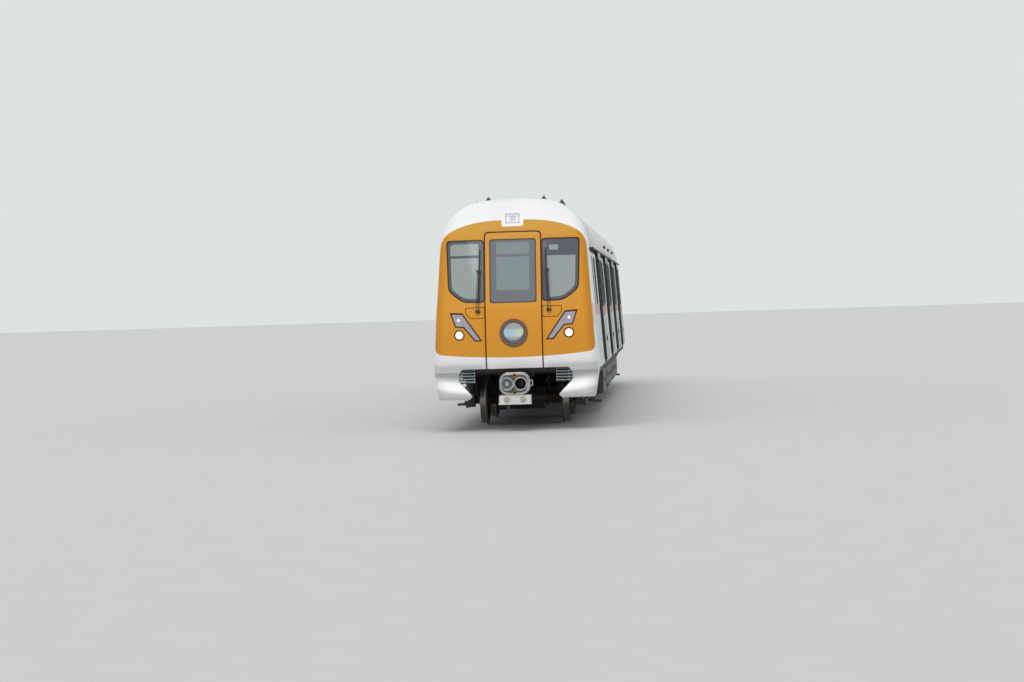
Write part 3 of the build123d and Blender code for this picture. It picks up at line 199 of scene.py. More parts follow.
def bump(shader, height, strength, distance):
    """Adds a bump made from a height socket."""
    shape = {"Height": height, "Strength": strength, "Distance": distance}
    node = new_node(height.id_data, "ShaderNodeBump", shape)
    feed(shader, {"Normal": node.outputs["Normal"]})


def plain_finish(name, light, dark, metallic, rough, scale):
    """A finish whose colour and roughness wander a little between two values."""
    material, tree, shader = new_material(name)
    noise = object_noise(tree, scale)
    feed(shader, {
        "Base Color": mix_colours(noise, dark, light),
        "Roughness": map_range(noise, *rough),
        "Metallic": metallic,
    })
    fine_grain = object_noise(tree, scale * 40, detail=2)
    bump(shader, fine_grain, strength=0.1, distance=0.002)
    return material


# %% [markdown]
# Painted shapes need more: a stripe, a panel with round corners, a black border along a
# pane. Each is drawn with the same idea. A chain of Math nodes works out how far a point
# lies from the shape's edge, less than zero inside it. A step at zero then gives a mask,
# 1 on the paint and 0 off it, and a step at another distance gives a border of even
# width. Nothing is stretched or cut out of a picture, so every edge stays sharp.

# %% Helpers for painted shapes
EDGE_SOFTNESS = 0.0015


def position(tree):
    """The point's x, its distance from the middle plane, its y and its height."""
    place = tree.nodes.new("ShaderNodeTexCoord")
    split = tree.nodes.new("ShaderNodeSeparateXYZ")
    tree.links.new(place.outputs["Object"], split.inputs[0])
    x, y, z = split.outputs
    return x, maths("ABSOLUTE", x), y, z


def inside(distance, limit=0.0, soft=EDGE_SOFTNESS):
    """1 where a distance is below a limit and 0 above it, with a hair's breadth between."""
    return map_range(distance, 1, 0, limit - soft, limit + soft)


def beyond(distance, limit=0.0, soft=EDGE_SOFTNESS):
    """0 where a distance is below a limit and 1 above it."""
    return map_range(distance, 0, 1, limit - soft, limit + soft)


def band(distance, low, high):
    """1 where a distance lies between two values."""
    return maths("SUBTRACT", inside(distance, high), inside(distance, low))


def both(first, second):
    """1 where two masks are 1. One of them may also be a shade between 0 and 1."""
    return maths("MULTIPLY", first, second)


def without(mask):
    """1 where a mask is 0, and 0 where it is 1."""
    return maths("SUBTRACT", 1.0, mask)


def highest(*values):
    """The highest of several sockets: it joins masks, and keeps what several shapes share."""
    total = values[0]
    for value in values[1:]:
        total = maths("MAXIMUM", total, value)
    return total


def straight_length(sideways, upright):
    """The straight way to a point that lies so far to the side and so far up."""
    square = maths("POWER", sideways, 2)
    square = maths("ADD", square, maths("POWER", upright, 2))
    return maths("SQRT", square)


def round_distance(across, height, centre, radius):
    """Distance to a circle."""
    sideways = maths("SUBTRACT", across, centre[0])
    upright = maths("SUBTRACT", height, centre[1])
    return maths("SUBTRACT", straight_length(sideways, upright), radius)


def frame_distance(across, height, low, high, round_corner):
    """Distance to an upright rectangle between two corners."""
    middle = ((low[0] + high[0]) / 2, (low[1] + high[1]) / 2)
    sideways = maths("ABSOLUTE", maths("SUBTRACT", across, middle[0]))
    upright = maths("ABSOLUTE", maths("SUBTRACT", height, middle[1]))
    sideways = maths("SUBTRACT", sideways, (high[0] - low[0]) / 2)
    upright = maths("SUBTRACT", upright, (high[1] - low[1]) / 2)
    return maths("SMOOTH_MAX", sideways, upright, round_corner)


def line_distance(across, height, start, end):
    """Distance to the left of a straight line through two places."""
    run = Vector(end) - Vector(start)
    normal = Vector((run.y, -run.x)).normalized()
    offset = normal.dot(Vector(start))
    tilted = maths("MULTIPLY", across, -normal.x)
    tilted = maths("MULTIPLY_ADD", height, -normal.y, tilted)
    return maths("ADD", tilted, offset)


def outline_distance(across, height, points, round_corner):
    """Distance to a convex outline, whose points run clockwise."""
    total = None
    for start, end in zip(points, points[1:] + points[:1]):
        edge = line_distance(across, height, start, end)
        total = edge if total is None else maths("SMOOTH_MAX", total, edge, round_corner)
    return total


# %% [markdown]
# The places of the front's painted shapes, as half widths and heights. Heights count
# from the treads of the wheels. The flanges reach 28 mm below them, where the model's
# floor lies, so 28 mm is added to each height. The body's sides lean inward by 3.6
# degrees from their foot up.

# %% Named places on the front
TREAD = 0.028
WALL_LEAN = math.tan(math.radians(3.6))
WALL_FOOT = (1.430, 1.028)
NOSE = -10.88
MASK_BACK = -9.53


def skin_x(z):
    """Half width of the leaning side at a height."""
    return WALL_FOOT[0] - (z - WALL_FOOT[1]) * WALL_LEAN


def floor_width(ax, z):
    """The half width of a point moved along the lean of the sides to the model's floor."""
    return maths("MULTIPLY_ADD", z, WALL_LEAN, ax)


def above_treads(points):
    """Points given by half width and height above the treads, moved to the model's floor."""
    return [(across, height + TREAD) for across, height in points]


WINDSCREEN = above_treads([
    (0.512, 3.285), (1.152, 3.285), (1.122, 2.420), (0.870, 2.222), (0.512, 2.215),
])
WINDSCREEN_ROUNDING = 0.105
DOOR_WINDOW = above_treads([(-0.395, 2.200), (0.395, 3.290)])
DOOR_WINDOW_ROUNDING = 0.08
LAMP_TOP = above_treads([(0.890, 2.022), (1.095, 2.035)])
LAMP_ELBOW = above_treads([(0.868, 1.785), (1.012, 1.795)])
LAMP_FOOT = above_treads([(0.562, 1.548), (0.674, 1.548)])
ROUND_LAMP = (0.948, 1.652 + TREAD)
ROUND_LAMP_R = 0.084
WIPER_PANEL = above_treads([
    (0.500, 2.120), (0.830, 2.120), (0.830, 2.020), (0.750, 1.935), (0.500, 1.935),
])
STRIPE = (1.92 + TREAD, 2.09 + TREAD)


def lamp_distance(across, height):
    """Distance to the bent lamp: a slanting leg and a level arm with one outline."""
    top = line_distance(across, height, *LAMP_TOP)
    outer = line_distance(across, height, LAMP_TOP[1], LAMP_ELBOW[1])
    under_arm = line_distance(across, height, LAMP_ELBOW[1], LAMP_ELBOW[0])
    under_leg = line_distance(across, height, LAMP_ELBOW[0], LAMP_FOOT[1])
    foot = line_distance(across, height, LAMP_FOOT[1], LAMP_FOOT[0])
    slant = line_distance(across, height, LAMP_FOOT[0], LAMP_TOP[0])
    lower = maths("MINIMUM", under_arm, under_leg)
    return highest(top, outer, foot, slant, lower)


print("half width of the body at its foot", WALL_FOOT[0])

# %% [markdown]
# The moulded front carries one large orange panel inside white. Its upper edge arches
# over the windscreens, its sides follow the leaning body, its corners are round, and a
# notch leaves the small display on white. Each of these edges is one distance, and
# smooth maxima join them with round corners. The escape door in the middle is a part of
# the same painted face, so both nodes share this finish.

# %% The orange panel
PANEL_TOP = 3.635 + TREAD
PANEL_TOP_FALL = 0.14
PANEL_FOOT = 1.25 + TREAD
PANEL_FOOT_RISE = 0.04
PANEL_INSET = 0.014
PANEL_DEPTH = 0.66
PANEL_UPPER_CORNER = 0.30
PANEL_LOWER_CORNER = 0.20
DISPLAY_NOTCH = ((-0.19, 3.52 + TREAD), (0.19, 4.2))

front_paint, tree, shader = new_material("front_paint")
x, ax, y, z = position(tree)
side = maths("SUBTRACT", floor_width(ax, z), skin_x(0.0) - PANEL_INSET)
arch = maths("MULTIPLY_ADD", maths("POWER", ax, 3), PANEL_TOP_FALL, z)
arch = maths("SUBTRACT", arch, PANEL_TOP)
foot = maths("MULTIPLY_ADD", maths("POWER", ax, 2), PANEL_FOOT_RISE, PANEL_FOOT)
foot = maths("SUBTRACT", foot, z)
panel = maths("SMOOTH_MAX", side, arch, PANEL_UPPER_CORNER)
panel = maths("SMOOTH_MAX", panel, foot, PANEL_LOWER_CORNER)
notch = frame_distance(ax, z, *DISPLAY_NOTCH, 0.06)
out_of_notch = maths("MULTIPLY", notch, -1)
too_far_back = maths("SUBTRACT", y, NOSE + PANEL_DEPTH)
on_panel = inside(highest(panel, out_of_notch, too_far_back))
print("nodes of the panel's outline", len(tree.nodes))

# %% [markdown]
# The orange is painted yellower near the top, as painted sky light on the faces turned
# up, and deeper at the sides, as painted shade where the face turns away; the deeper
# orange also varies a little at random. The white is a little uneven, and painted grey
# along the mask's lower edge as painted shade. At the height of the body's stripe a red
# patch lies on each side of the mask. It is strongest near the nose and fades towards
# the back.

# %% Colours of the front
WHITE = (0.90, 0.90, 0.91)
WHITE_DULL = (0.74, 0.74, 0.75)
UNDER_SHADE = (0.42, 0.42, 0.425)
ORANGE = (0.68, 0.295, 0.030)
ORANGE_SKY_LIT = (0.56, 0.290, 0.010)
ORANGE_SHADE_AND_TONE = (0.57, 0.230, 0.010)
PATCH_RED = (0.66, 0.17, 0.05)
PATCH_HEIGHTS = (STRIPE[0] - 0.13, STRIPE[1] + 0.05)

wander = object_noise(tree, 1.3, (1, 1, 2))
# painted light: sky light yellows the top, and painted shade deepens the sides
orange = mix_colours(map_range(z, 0, 1, 3.2, 3.6), ORANGE, ORANGE_SKY_LIT)
orange = mix_colours(map_range(side, 0, 0.9, -0.16, -0.02), orange, ORANGE_SHADE_AND_TONE)
# a random deeper tone, in the colour of the painted side shade
orange = mix_colours(map_range(wander, 0, 0.22), orange, ORANGE_SHADE_AND_TONE)
white = mix_colours(wander, WHITE_DULL, WHITE)
# painted shade: grey along the mask's lower edge, away from the middle
low_down = map_range(z, 1, 0, 1.12, 1.20)
off_middle = map_range(ax, 0, 0.5, 0.40, 0.60)
white = mix_colours(both(low_down, off_middle), white, UNDER_SHADE)
colour = mix_colours(on_panel, white, orange)
patch = both(band(z, *PATCH_HEIGHTS), beyond(side, soft=0.02))
patch = both(patch, map_range(y, 0.75, 0.1, NOSE + 0.3, MASK_BACK))
colour = mix_colours(patch, colour, PATCH_RED)
print("nodes with the colours", len(tree.nodes))

# %% [markdown]
# Thin dark lines stand for the seals of every pane and lamp and for the small panels
# that carry the wipers. Round the escape door a wider brown band is its seam together
# with painted shade in the seam's recess, and just outside it a darker orange line is
# painted shade along the raised surround. Each dark line is a band beside an edge whose
# distance is known, so one loop draws them all. The mask's back edge is black, and a
# thin clear coat makes the face shine.

# %% Seams and seals of the front
BLACK = (0.018, 0.018, 0.018)
DARK_BROWN = (0.050, 0.022, 0.012)
SEAM_BROWN = (0.105, 0.028, 0.006)
DOOR_SEAM = ((-0.490, 0.2), (0.490, 3.425 + TREAD))
BACK_EDGE = 0.03

seam = frame_distance(ax, z, *DOOR_SEAM, 0.123)
# painted shade: a darker orange line along the raised surround outside the seam
surround_shade = both(band(seam, 0.030, 0.042), on_panel)
colour = mix_colours(surround_shade, colour, ORANGE_SHADE_AND_TONE)
windscreen_edge = outline_distance(ax, z, WINDSCREEN, WINDSCREEN_ROUNDING)
door_window_edge = frame_distance(x, z, *DOOR_WINDOW, DOOR_WINDOW_ROUNDING)
round_lamp_edge = round_distance(ax, z, ROUND_LAMP, ROUND_LAMP_R)
wiper_panel_edge = outline_distance(ax, z, WIPER_PANEL, 0.03)
# columns: distance to the edge, where the line starts and ends beside it, its colour
painted_lines = (
    # the door's seam, widened by painted shade in its recess
    (seam, -0.012, 0.012, SEAM_BROWN),
    (windscreen_edge, -0.05, 0.016, DARK_BROWN),
    (lamp_distance(ax, z), -0.02, 0.010, DARK_BROWN),
    (round_lamp_edge, -0.02, 0.010, SEAM_BROWN),
    (door_window_edge, -0.05, 0.012, DARK_BROWN),
    (wiper_panel_edge, -0.006, 0.006, SEAM_BROWN),
)
for distance, low, high, paint in painted_lines:
    colour = mix_colours(band(distance, low, high), colour, paint)
colour = mix_colours(beyond(y, MASK_BACK - BACK_EDGE), colour, BLACK)
feed(shader, {
    "Base Color": colour,
    "Roughness": map_range(wander, 0.22, 0.34),
    "Coat Weight": 0.06,
    "Coat Roughness": 0.12,
    "Specular IOR Level": 0.2,
})
bump(shader, object_noise(tree, 90, detail=2), strength=0.03, distance=0.002)
print("nodes in the front paint", len(tree.nodes))

# %% [markdown]
# The panes of the front are laminated glass with a printed grey border that hides the
# glue. Border and clear glass are one shader: where the border lies, the glass stops
# letting light through. The clear part is painted a little milky and greenish, a painted
# reflection of the sky lying on it as a pale film and of the bright cab behind it. The
# door's pane is painted darker, as painted shade of the length of the saloon that it
# looks down. Near the top a bar of the same print crosses the left windscreen and the
# door's pane. The right windscreen has a deep band there, in which a small pane is left
# clear.

# %% Front glass
# painted light: the clear glass's colour is a painted reflection of sky and bright cab, the door's
# darker one painted shade
CLEAR_SHEEN = (0.59, 0.68, 0.67)
DOOR_CLEAR_SHADE = (0.26, 0.345, 0.380)
BORDER = (0.098, 0.110, 0.132)
SIDE_GLASS_DARK = (0.30, 0.36, 0.38)
SIDE_GLASS_LIGHT = (0.38, 0.43, 0.44)
DOOR_SIDE_BORDER = 0.595
WINDSCREEN_BAR = (2.985 + TREAD, 3.03 + TREAD)
DEEP_BAND_FOOT = 2.99 + TREAD
SMALL_PANE = above_treads([(0.635, 3.09), (0.79, 3.18)])
DOOR_CLEAR_PANE = above_treads([(-0.285, 2.41), (0.285, 3.235)])
DOOR_BAR = (2.99 + TREAD, 3.035 + TREAD)


def bordered_glass(name, clear, make_border):
    """Glass whose printed border is where make_border gives 1, with a dark seal round it."""
    material, tree, shader = new_material(name)
    border, seal = make_border(tree)
    colour = mix_colours(border, clear, BORDER)
    colour = mix_colours(seal, colour, DARK_BROWN)
    feed(shader, {
        "Base Color": colour,
        "Transmission Weight": map_range(border, 0.55, 0.0),
        "Roughness": 0.04,
        "Specular IOR Level": 0.3,
    })
    return material


def windscreen_border(tree):
    """Wide at the door side, narrow elsewhere, with a bar or a deep band at the top."""
    x, ax, y, z = position(tree)
    edge = outline_distance(ax, z, WINDSCREEN, WINDSCREEN_ROUNDING)
    bar = both(band(z, *WINDSCREEN_BAR), inside(x))
    deep = both(beyond(z, DEEP_BAND_FOOT), beyond(x))
    deep = both(deep, beyond(frame_distance(x, z, *SMALL_PANE, 0.02)))
    border = highest(beyond(edge, -0.055), inside(ax, DOOR_SIDE_BORDER), bar, deep)
    return border, beyond(edge, -0.010)


def door_glass_border(tree):
    """A wide border, deeper at the foot, and a bar near the top."""
    x, ax, y, z = position(tree)
    edge = frame_distance(x, z, *DOOR_WINDOW, DOOR_WINDOW_ROUNDING)
    around = beyond(frame_distance(x, z, *DOOR_CLEAR_PANE, 0.04))
    return highest(around, band(z, *DOOR_BAR)), beyond(edge, -0.012)


windscreen_glass = bordered_glass("windscreen_glass", CLEAR_SHEEN, windscreen_border)
escape_glass = bordered_glass("escape_door_glass_finish", DOOR_CLEAR_SHADE, door_glass_border)

side_glass, tree, shader = new_material("side_glass")
film = mix_colours(object_noise(tree, 2.0), SIDE_GLASS_DARK, SIDE_GLASS_LIGHT)
feed(shader, {"Base Color": film, "Transmission Weight": 0.8, "Roughness": 0.04})
print("three kinds of glass made")

# %% [markdown]
# The lamps are lit. The bent lens is smoky plastic with a brown rim and one white spot,
# and the round lamp is a warm white disc in a brown bezel. The spots only glow: a lamp
# looks bright by day without lighting what stands around it.

# %% Lamps
SMOKE_DARK = (0.30, 0.28, 0.33)
SMOKE_LIGHT = (0.40, 0.38, 0.43)
LAMP_CREAM = (0.34, 0.31, 0.26)
LAMP_RIM = 0.016
LAMP_SPOT = (0.957, 1.91 + TREAD)
LAMP_SPOT_R = 0.024

lamp_lens, tree, shader = new_material("lamp_lens")
x, ax, y, z = position(tree)
smoke = mix_colours(object_noise(tree, 9), SMOKE_DARK, SMOKE_LIGHT)
rim = beyond(lamp_distance(ax, z), -LAMP_RIM)
colour = mix_colours(rim, smoke, DARK_BROWN)
round_lamp = round_distance(ax, z, ROUND_LAMP, ROUND_LAMP_R)
colour = mix_colours(inside(round_lamp), colour, LAMP_CREAM)
colour = mix_colours(band(round_lamp, -0.014, 0.01), colour, SEAM_BROWN)
spot = round_distance(ax, z, LAMP_SPOT, LAMP_SPOT_R)
glow = highest(inside(spot, soft=0.008), inside(round_lamp, -0.018, 0.006))
feed(shader, {
    "Base Color": colour,
    "Emission Strength": map_range(glow, 0, 0.85),
    "Emission Color": (1.0, 0.94, 0.80, 1),
    "Roughness": 0.12,
    "Coat Weight": 0.6,
})
print("nodes in the lamp lens", len(tree.nodes))

# %% [markdown]
# The roundel on the escape door is a glassy disc in a brown ring, with no mark on it.
# Its colours are a painted reflection: a band across its middle runs from pale blue to
# cream, above and below it the disc is grey, and a dark crescent of painted shade lies
# along its foot.

# %% Roundel
ROUNDEL = (0.0, 1.670 + TREAD)
ROUNDEL_DISC_R = 0.184
ROUNDEL_RING_R = 0.224
CRESCENT_CENTRE = (-0.01, ROUNDEL[1] + 0.055)
CRESCENT_R = 0.175
REFLECTION_BLUE = ((0.24, 0.48, 0.62), (0.46, 0.68, 0.80))
REFLECTION_CREAM = ((0.46, 0.58, 0.38), (0.70, 0.76, 0.48))

roundel_finish, tree, shader = new_material("roundel_finish")
x, ax, y, z = position(tree)
# painted reflection on the glassy disc, with a crescent of painted shade at its foot
reflection_noise = object_noise(tree, 7, (1, 1, 2))
blue = mix_colours(reflection_noise, *REFLECTION_BLUE)
cream = mix_colours(reflection_noise, *REFLECTION_CREAM)
disc_reflection = mix_colours(map_range(x, 0, 1, -0.04, 0.09), blue, cream)
off_band = maths("ABSOLUTE", maths("SUBTRACT", z, ROUNDEL[1]))
greyer = map_range(off_band, 0, 1, 0.050, 0.085)
disc_reflection = mix_colours(greyer, disc_reflection, (0.36, 0.38, 0.40))
crescent = round_distance(x, z, CRESCENT_CENTRE, CRESCENT_R)
crescent_shade = map_range(crescent, 0, 0.9, -0.012, 0.022)
disc_reflection = mix_colours(crescent_shade, disc_reflection, (0.06, 0.08, 0.11))
on_ring = inside(round_distance(x, z, ROUNDEL, ROUNDEL_RING_R))
ring = mix_colours(on_ring, (0.13, 0.045, 0.020), (0.14, 0.065, 0.050))
disc = round_distance(x, z, ROUNDEL, ROUNDEL_DISC_R)
colour = mix_colours(inside(disc), ring, disc_reflection)
colour = mix_colours(band(disc, -0.008, 0.006), colour, (0.04, 0.025, 0.02))
feed(shader, {"Base Color": colour, "Roughness": 0.16, "Coat Weight": 0.8})
print("roundel radius", ROUNDEL_RING_R)

# %% [markdown]
# The small display over the windscreens is a pale pane in a dark rim. It is off, so its
# face is plain.

# %% Display
DISPLAY = above_treads([(-0.12, 3.575), (0.12, 3.745)])
DISPLAY_RIM = 0.009
DISPLAY_PANE = above_treads([(-0.045, 3.61), (0.06, 3.71)])

display_face, tree, shader = new_material("display_face")
x, ax, y, z = position(tree)
face = frame_distance(x, z, *DISPLAY, 0.02)
pane = frame_distance(x, z, *DISPLAY_PANE, 0.03)
colour = mix_colours(inside(face, -DISPLAY_RIM), (0.07, 0.07, 0.09), (0.70, 0.70, 0.74))
colour = mix_colours(inside(pane, soft=0.01), colour, (0.50, 0.50, 0.56))
feed(shader, {"Base Color": colour, "Roughness": 0.10})
print("nodes in the display", len(tree.nodes))

# %% [markdown]
# The long sides are stainless steel. The sheets run along the car, so the faint rolling
# marks do too, and soft blotches of dirt lie over them, so the finish mixes a stretched
# noise with an even one. A red stripe crosses walls and doors at waist height, and every
# window has a black rubber frame. Behind the outer skin the same wall node is the
# saloon's lining, so a point deeper than 20 mm turns to pale laminate.

# %% Steel of the sides
STEEL = (0.70, 0.71, 0.73)
STEEL_DULL = (0.56, 0.57, 0.60)
STRIPE_RED = (0.48, 0.13, 0.07)
FRAME_RUBBER = (0.045, 0.047, 0.050)
# the leaves' panes: dark tint, with painted shade of the saloon behind
DARK_PANE_AND_SHADE = (0.045, 0.055, 0.060)
LAMINATE = (0.62, 0.62, 0.58)
SKIN_DEPTH = 0.020


def steel_side(name, add_rubber):
    """Steel with streaks and a stripe. add_rubber gives a mask of rubber and one of glass."""
    material, tree, shader = new_material(name)
    x, ax, y, z = position(tree)
    rolled = object_noise(tree, 2.2, (1, 0.12, 5), detail=3)
    blotches = object_noise(tree, 0.9, (1, 1.0, 0.7), detail=3)
    marks = maths("MULTIPLY_ADD", blotches, 0.65, maths("MULTIPLY", rolled, 0.35))
    colour = mix_colours(map_range(marks, 0, 1, 0.32, 0.68), STEEL, STEEL_DULL)
    stripe = band(z, *STRIPE)
    worn = map_range(object_noise(tree, 5, (1, 1, 0.4)), 0.35, 0.75)
    colour = mix_colours(both(stripe, worn), colour, STRIPE_RED)
    rubber, glass = add_rubber(y, z)
    colour = mix_colours(rubber, colour, FRAME_RUBBER)
    colour = mix_colours(glass, colour, DARK_PANE_AND_SHADE)
    lining = inside(floor_width(ax, z), skin_x(0.0) - SKIN_DEPTH)
    colour = mix_colours(lining, colour, LAMINATE)
    bare = without(highest(rubber, glass, lining))
    bare = both(bare, without(stripe))
    rough = maths("MULTIPLY_ADD", glass, -0.30, map_range(marks, 0.30, 0.46))
    metallic = map_range(bare, 0.0, 0.75)
    feed(shader, {"Base Color": colour, "Metallic": metallic, "Roughness": rough})
    grain = both(object_noise(tree, 40, (1, 0.05, 1), detail=1), bare)
    bump(shader, grain, strength=0.02, distance=0.002)
    return material


# %% [markdown]
# Walls and doors differ only in where the rubber lies, so a function for that is handed
# to the recipe of the steel. The doorways stand at an even pitch, and folding a point's
# place along the car at that pitch lets one doorway serve for all.

# %% Rubber of walls and doors
WINDOW_HEIGHTS = (2.130 + TREAD, 2.960 + TREAD)
# columns: window centre along the car, window length
SIDE_WINDOWS = (
    (-8.95, 0.64), (-7.85, 0.76), (-3.56, 1.86), (1.22, 1.86), (6.00, 1.86), (10.12, 0.76),
)
DOOR_FIRST = -5.95
DOOR_PITCH = 4.78
REVEAL = 0.80
LEAF_GAP = 0.003
LEAF_EDGE = 0.726
LEAF_MIDDLE = (LEAF_GAP + LEAF_EDGE) / 2
LEAF_RUBBER_FROM = 0.332
PANE_HALF = 0.235
PANE_HEIGHTS = (2.08 + TREAD, 2.96 + TREAD)


def from_doorway(y):
    """How far along the car a point lies from the middle of the nearest doorway."""
    return maths("PINGPONG", maths("SUBTRACT", y, DOOR_FIRST), DOOR_PITCH / 2)


def wall_rubber(y, z):
    """Black frames round windows and doorways. The walls' panes are pieces of their own."""
    nearest = None
    for centre, length in SIDE_WINDOWS:
        low = (centre - length / 2, WINDOW_HEIGHTS[0])
        high = (centre + length / 2, WINDOW_HEIGHTS[1])
        edge = frame_distance(y, z, low, high, 0.15)
        nearest = edge if nearest is None else maths("MINIMUM", nearest, edge)
    frames = band(nearest, -0.05, 0.030)
    reveals = inside(from_doorway(y), REVEAL)
    no_glass = maths("MULTIPLY", frames, 0.0)
    return highest(frames, reveals), no_glass


def leaf_rubber(y, z):
    """Rubber on the leaf's upright edges and round its pane, painted dark: tint and painted shade.
    """
    place = from_doorway(y)
    off_middle = maths("ABSOLUTE", maths("SUBTRACT", place, LEAF_MIDDLE))
    low = (LEAF_MIDDLE - PANE_HALF, PANE_HEIGHTS[0])
    high = (LEAF_MIDDLE + PANE_HALF, PANE_HEIGHTS[1])
    pane = frame_distance(place, z, low, high, 0.11)
    rubber = highest(beyond(off_middle, LEAF_RUBBER_FROM), band(pane, -0.012, 0.022))
    return rubber, inside(pane, -0.012)


wall_steel = steel_side("wall_steel", wall_rubber)
door_steel = steel_side("door_steel_finish", leaf_rubber)
print("windows painted a side", len(SIDE_WINDOWS))

# %% [markdown]
# The roof is painted a warm pale grey, with streaks of dirt that the wind has drawn
# along the car. Its cover over the doors is painted black as painted shade under the
# roof's edge. The same node carries the saloon's ceiling, so, as on the walls, what lies
# well under the outer skin is pale laminate. The roof is round about a line at its
# shoulder, and the distance from that line tells.

# %% Roof
ROOF_LIGHT = (0.86, 0.83, 0.81)
ROOF_DULL = (0.66, 0.63, 0.61)
ROOF_SHOULDER = (0.452, 3.1953)
ROOF_RADIUS = 0.84
ROOF_SHELL = 0.03
DOOR_COVER_TOP = 3.140 + TREAD

roof_finish, tree, shader = new_material("roof_finish")
x, ax, y, z = position(tree)
streaks = object_noise(tree, 1.6, (2.0, 0.25, 2.0), detail=5)
colour = mix_colours(map_range(streaks, 0, 1, 0.30, 0.8), ROOF_LIGHT, ROOF_DULL)
# painted shade: the cover over the doors is black
colour = mix_colours(inside(z, DOOR_COVER_TOP), colour, BLACK)
outward = maths("MAXIMUM", maths("SUBTRACT", ax, ROOF_SHOULDER[0]), 0.0)
upward = maths("SUBTRACT", z, ROOF_SHOULDER[1])
reach = straight_length(outward, upward)
colour = mix_colours(inside(reach, ROOF_RADIUS - ROOF_SHELL), colour, LAMINATE)
feed(shader, {"Base Color": colour, "Roughness": map_range(streaks, 0.45, 0.7)})
bump(shader, object_noise(tree, 25, detail=3), strength=0.06, distance=0.004)
print("nodes in the roof", len(tree.nodes))

# %% [markdown]
# The working parts get simple finishes, all by one recipe, so a table holds them. The
# equipment cases' grey is kept dark as painted shade under the car.

# %% Working parts
# columns: light colour, dark colour, metallic, roughness from and to, scale of the noise
PLAIN_FINISHES = {
    "black_rubber": ((0.030, 0.030, 0.030), (0.015, 0.015, 0.015), 0.0, (0.55, 0.75), 3),
    "dark_paint": ((0.055, 0.052, 0.050), (0.020, 0.018, 0.018), 0.1, (0.50, 0.75), 3),
    "bogie_paint": ((0.085, 0.078, 0.070), (0.030, 0.026, 0.024), 0.1, (0.50, 0.80), 5),
    # case_grey is kept dark as painted shade under the car
    "case_grey": ((0.13, 0.13, 0.135), (0.06, 0.06, 0.063), 0.2, (0.40, 0.60), 3),
    "drive_grey": ((0.13, 0.125, 0.12), (0.05, 0.045, 0.04), 0.2, (0.50, 0.70), 5),
    "cast_steel": ((0.58, 0.59, 0.60), (0.30, 0.31, 0.32), 0.4, (0.32, 0.50), 7),
    "panel_pale": ((0.46, 0.49, 0.48), (0.40, 0.43, 0.42), 0.0, (0.45, 0.60), 3),
    "desk_grey": ((0.14, 0.15, 0.16), (0.10, 0.10, 0.11), 0.0, (0.50, 0.70), 3),
    "seat_blue": ((0.05, 0.06, 0.12), (0.03, 0.04, 0.08), 0.0, (0.80, 0.95), 20),
    "bench_steel": ((0.60, 0.61, 0.63), (0.48, 0.49, 0.51), 0.8, (0.28, 0.40), 3),
    "pole_steel": ((0.75, 0.75, 0.76), (0.66, 0.66, 0.67), 1.0, (0.15, 0.25), 3),
    "antenna_black": ((0.05, 0.05, 0.055), (0.03, 0.03, 0.03), 0.0, (0.40, 0.55), 3),
    "air_grey": ((0.52, 0.51, 0.50), (0.34, 0.33, 0.32), 0.1, (0.45, 0.65), 3),
    "floor_pale": ((0.62, 0.62, 0.61), (0.58, 0.58, 0.58), 0.0, (0.60, 0.70), 3),
}
plain = {name: plain_finish(name, *values) for name, values in PLAIN_FINISHES.items()}
floor.data.materials.append(plain["floor_pale"])
print("plain finishes", len(plain))

# %% [markdown]
# Wheels are brown with brake dust except for the tread, which is polished by rolling:
# the distance from each axle tells where it is. So each wheelset gets its own finish.
# Dust and tread are both kept very dark, as painted shade under the car.

# %% Wheels
AXLE_YS = {"front": (-8.25, -6.05), "rear": (6.45, 8.65)}
AXLE_HEIGHT = 0.458
TREAD_RADII = (0.422, 0.452)
# brake dust and tread, kept very dark as painted shade under the car
DUST_SHADE_DARK = (0.030, 0.020, 0.015)
DUST_SHADE_LIGHT = (0.085, 0.058, 0.042)
POLISHED_IN_SHADE = (0.30, 0.28, 0.26)


def wheel_finish(number, axle_y):
    """Brake dust all over and a polished tread round one axle, both darkened as painted shade."""
    material, tree, shader = new_material(f"wheel_finish_{number}")
    x, ax, y, z = position(tree)
    radius = round_distance(y, z, (axle_y, AXLE_HEIGHT), 0.0)
    tread = band(radius, *TREAD_RADII)
    dust = object_noise(tree, 6, detail=5)
    dust_and_shade = mix_colours(dust, DUST_SHADE_DARK, DUST_SHADE_LIGHT)
    feed(shader, {
        "Base Color": mix_colours(tread, dust_and_shade, POLISHED_IN_SHADE),
        "Metallic": map_range(tread, 0.2, 1.0),
        "Roughness": map_range(tread, 0.75, 0.35),
    })
    bump(shader, dust, strength=0.15, distance=0.004)
    return material


wheels = AXLE_YS["front"] + AXLE_YS["rear"]
wheel_finishes = [wheel_finish(number, y) for number, y in enumerate(wheels, start=1)]
print("wheel finishes", len(wheel_finishes))

# %% [markdown]
# The skirt's lobes are white, with painted shade: they are grey above the bulge and along
# the foot, and the bulge is left bright as a painted highlight. The bulge climbs a little
# towards the sides, so both shades follow a sloping line.

# %% Skirt
SKIRT_BRIGHT = (0.84, 0.84, 0.85)
SKIRT_SHADE = (0.46, 0.46, 0.465)
BULGE_FOOT = 0.50
BULGE_SLOPE = 0.16

skirt_white, tree, shader = new_material("skirt_white")
x, ax, y, z = position(tree)
bulge_foot = maths("MULTIPLY_ADD", ax, BULGE_SLOPE, BULGE_FOOT)
above_foot = maths("SUBTRACT", z, bulge_foot)
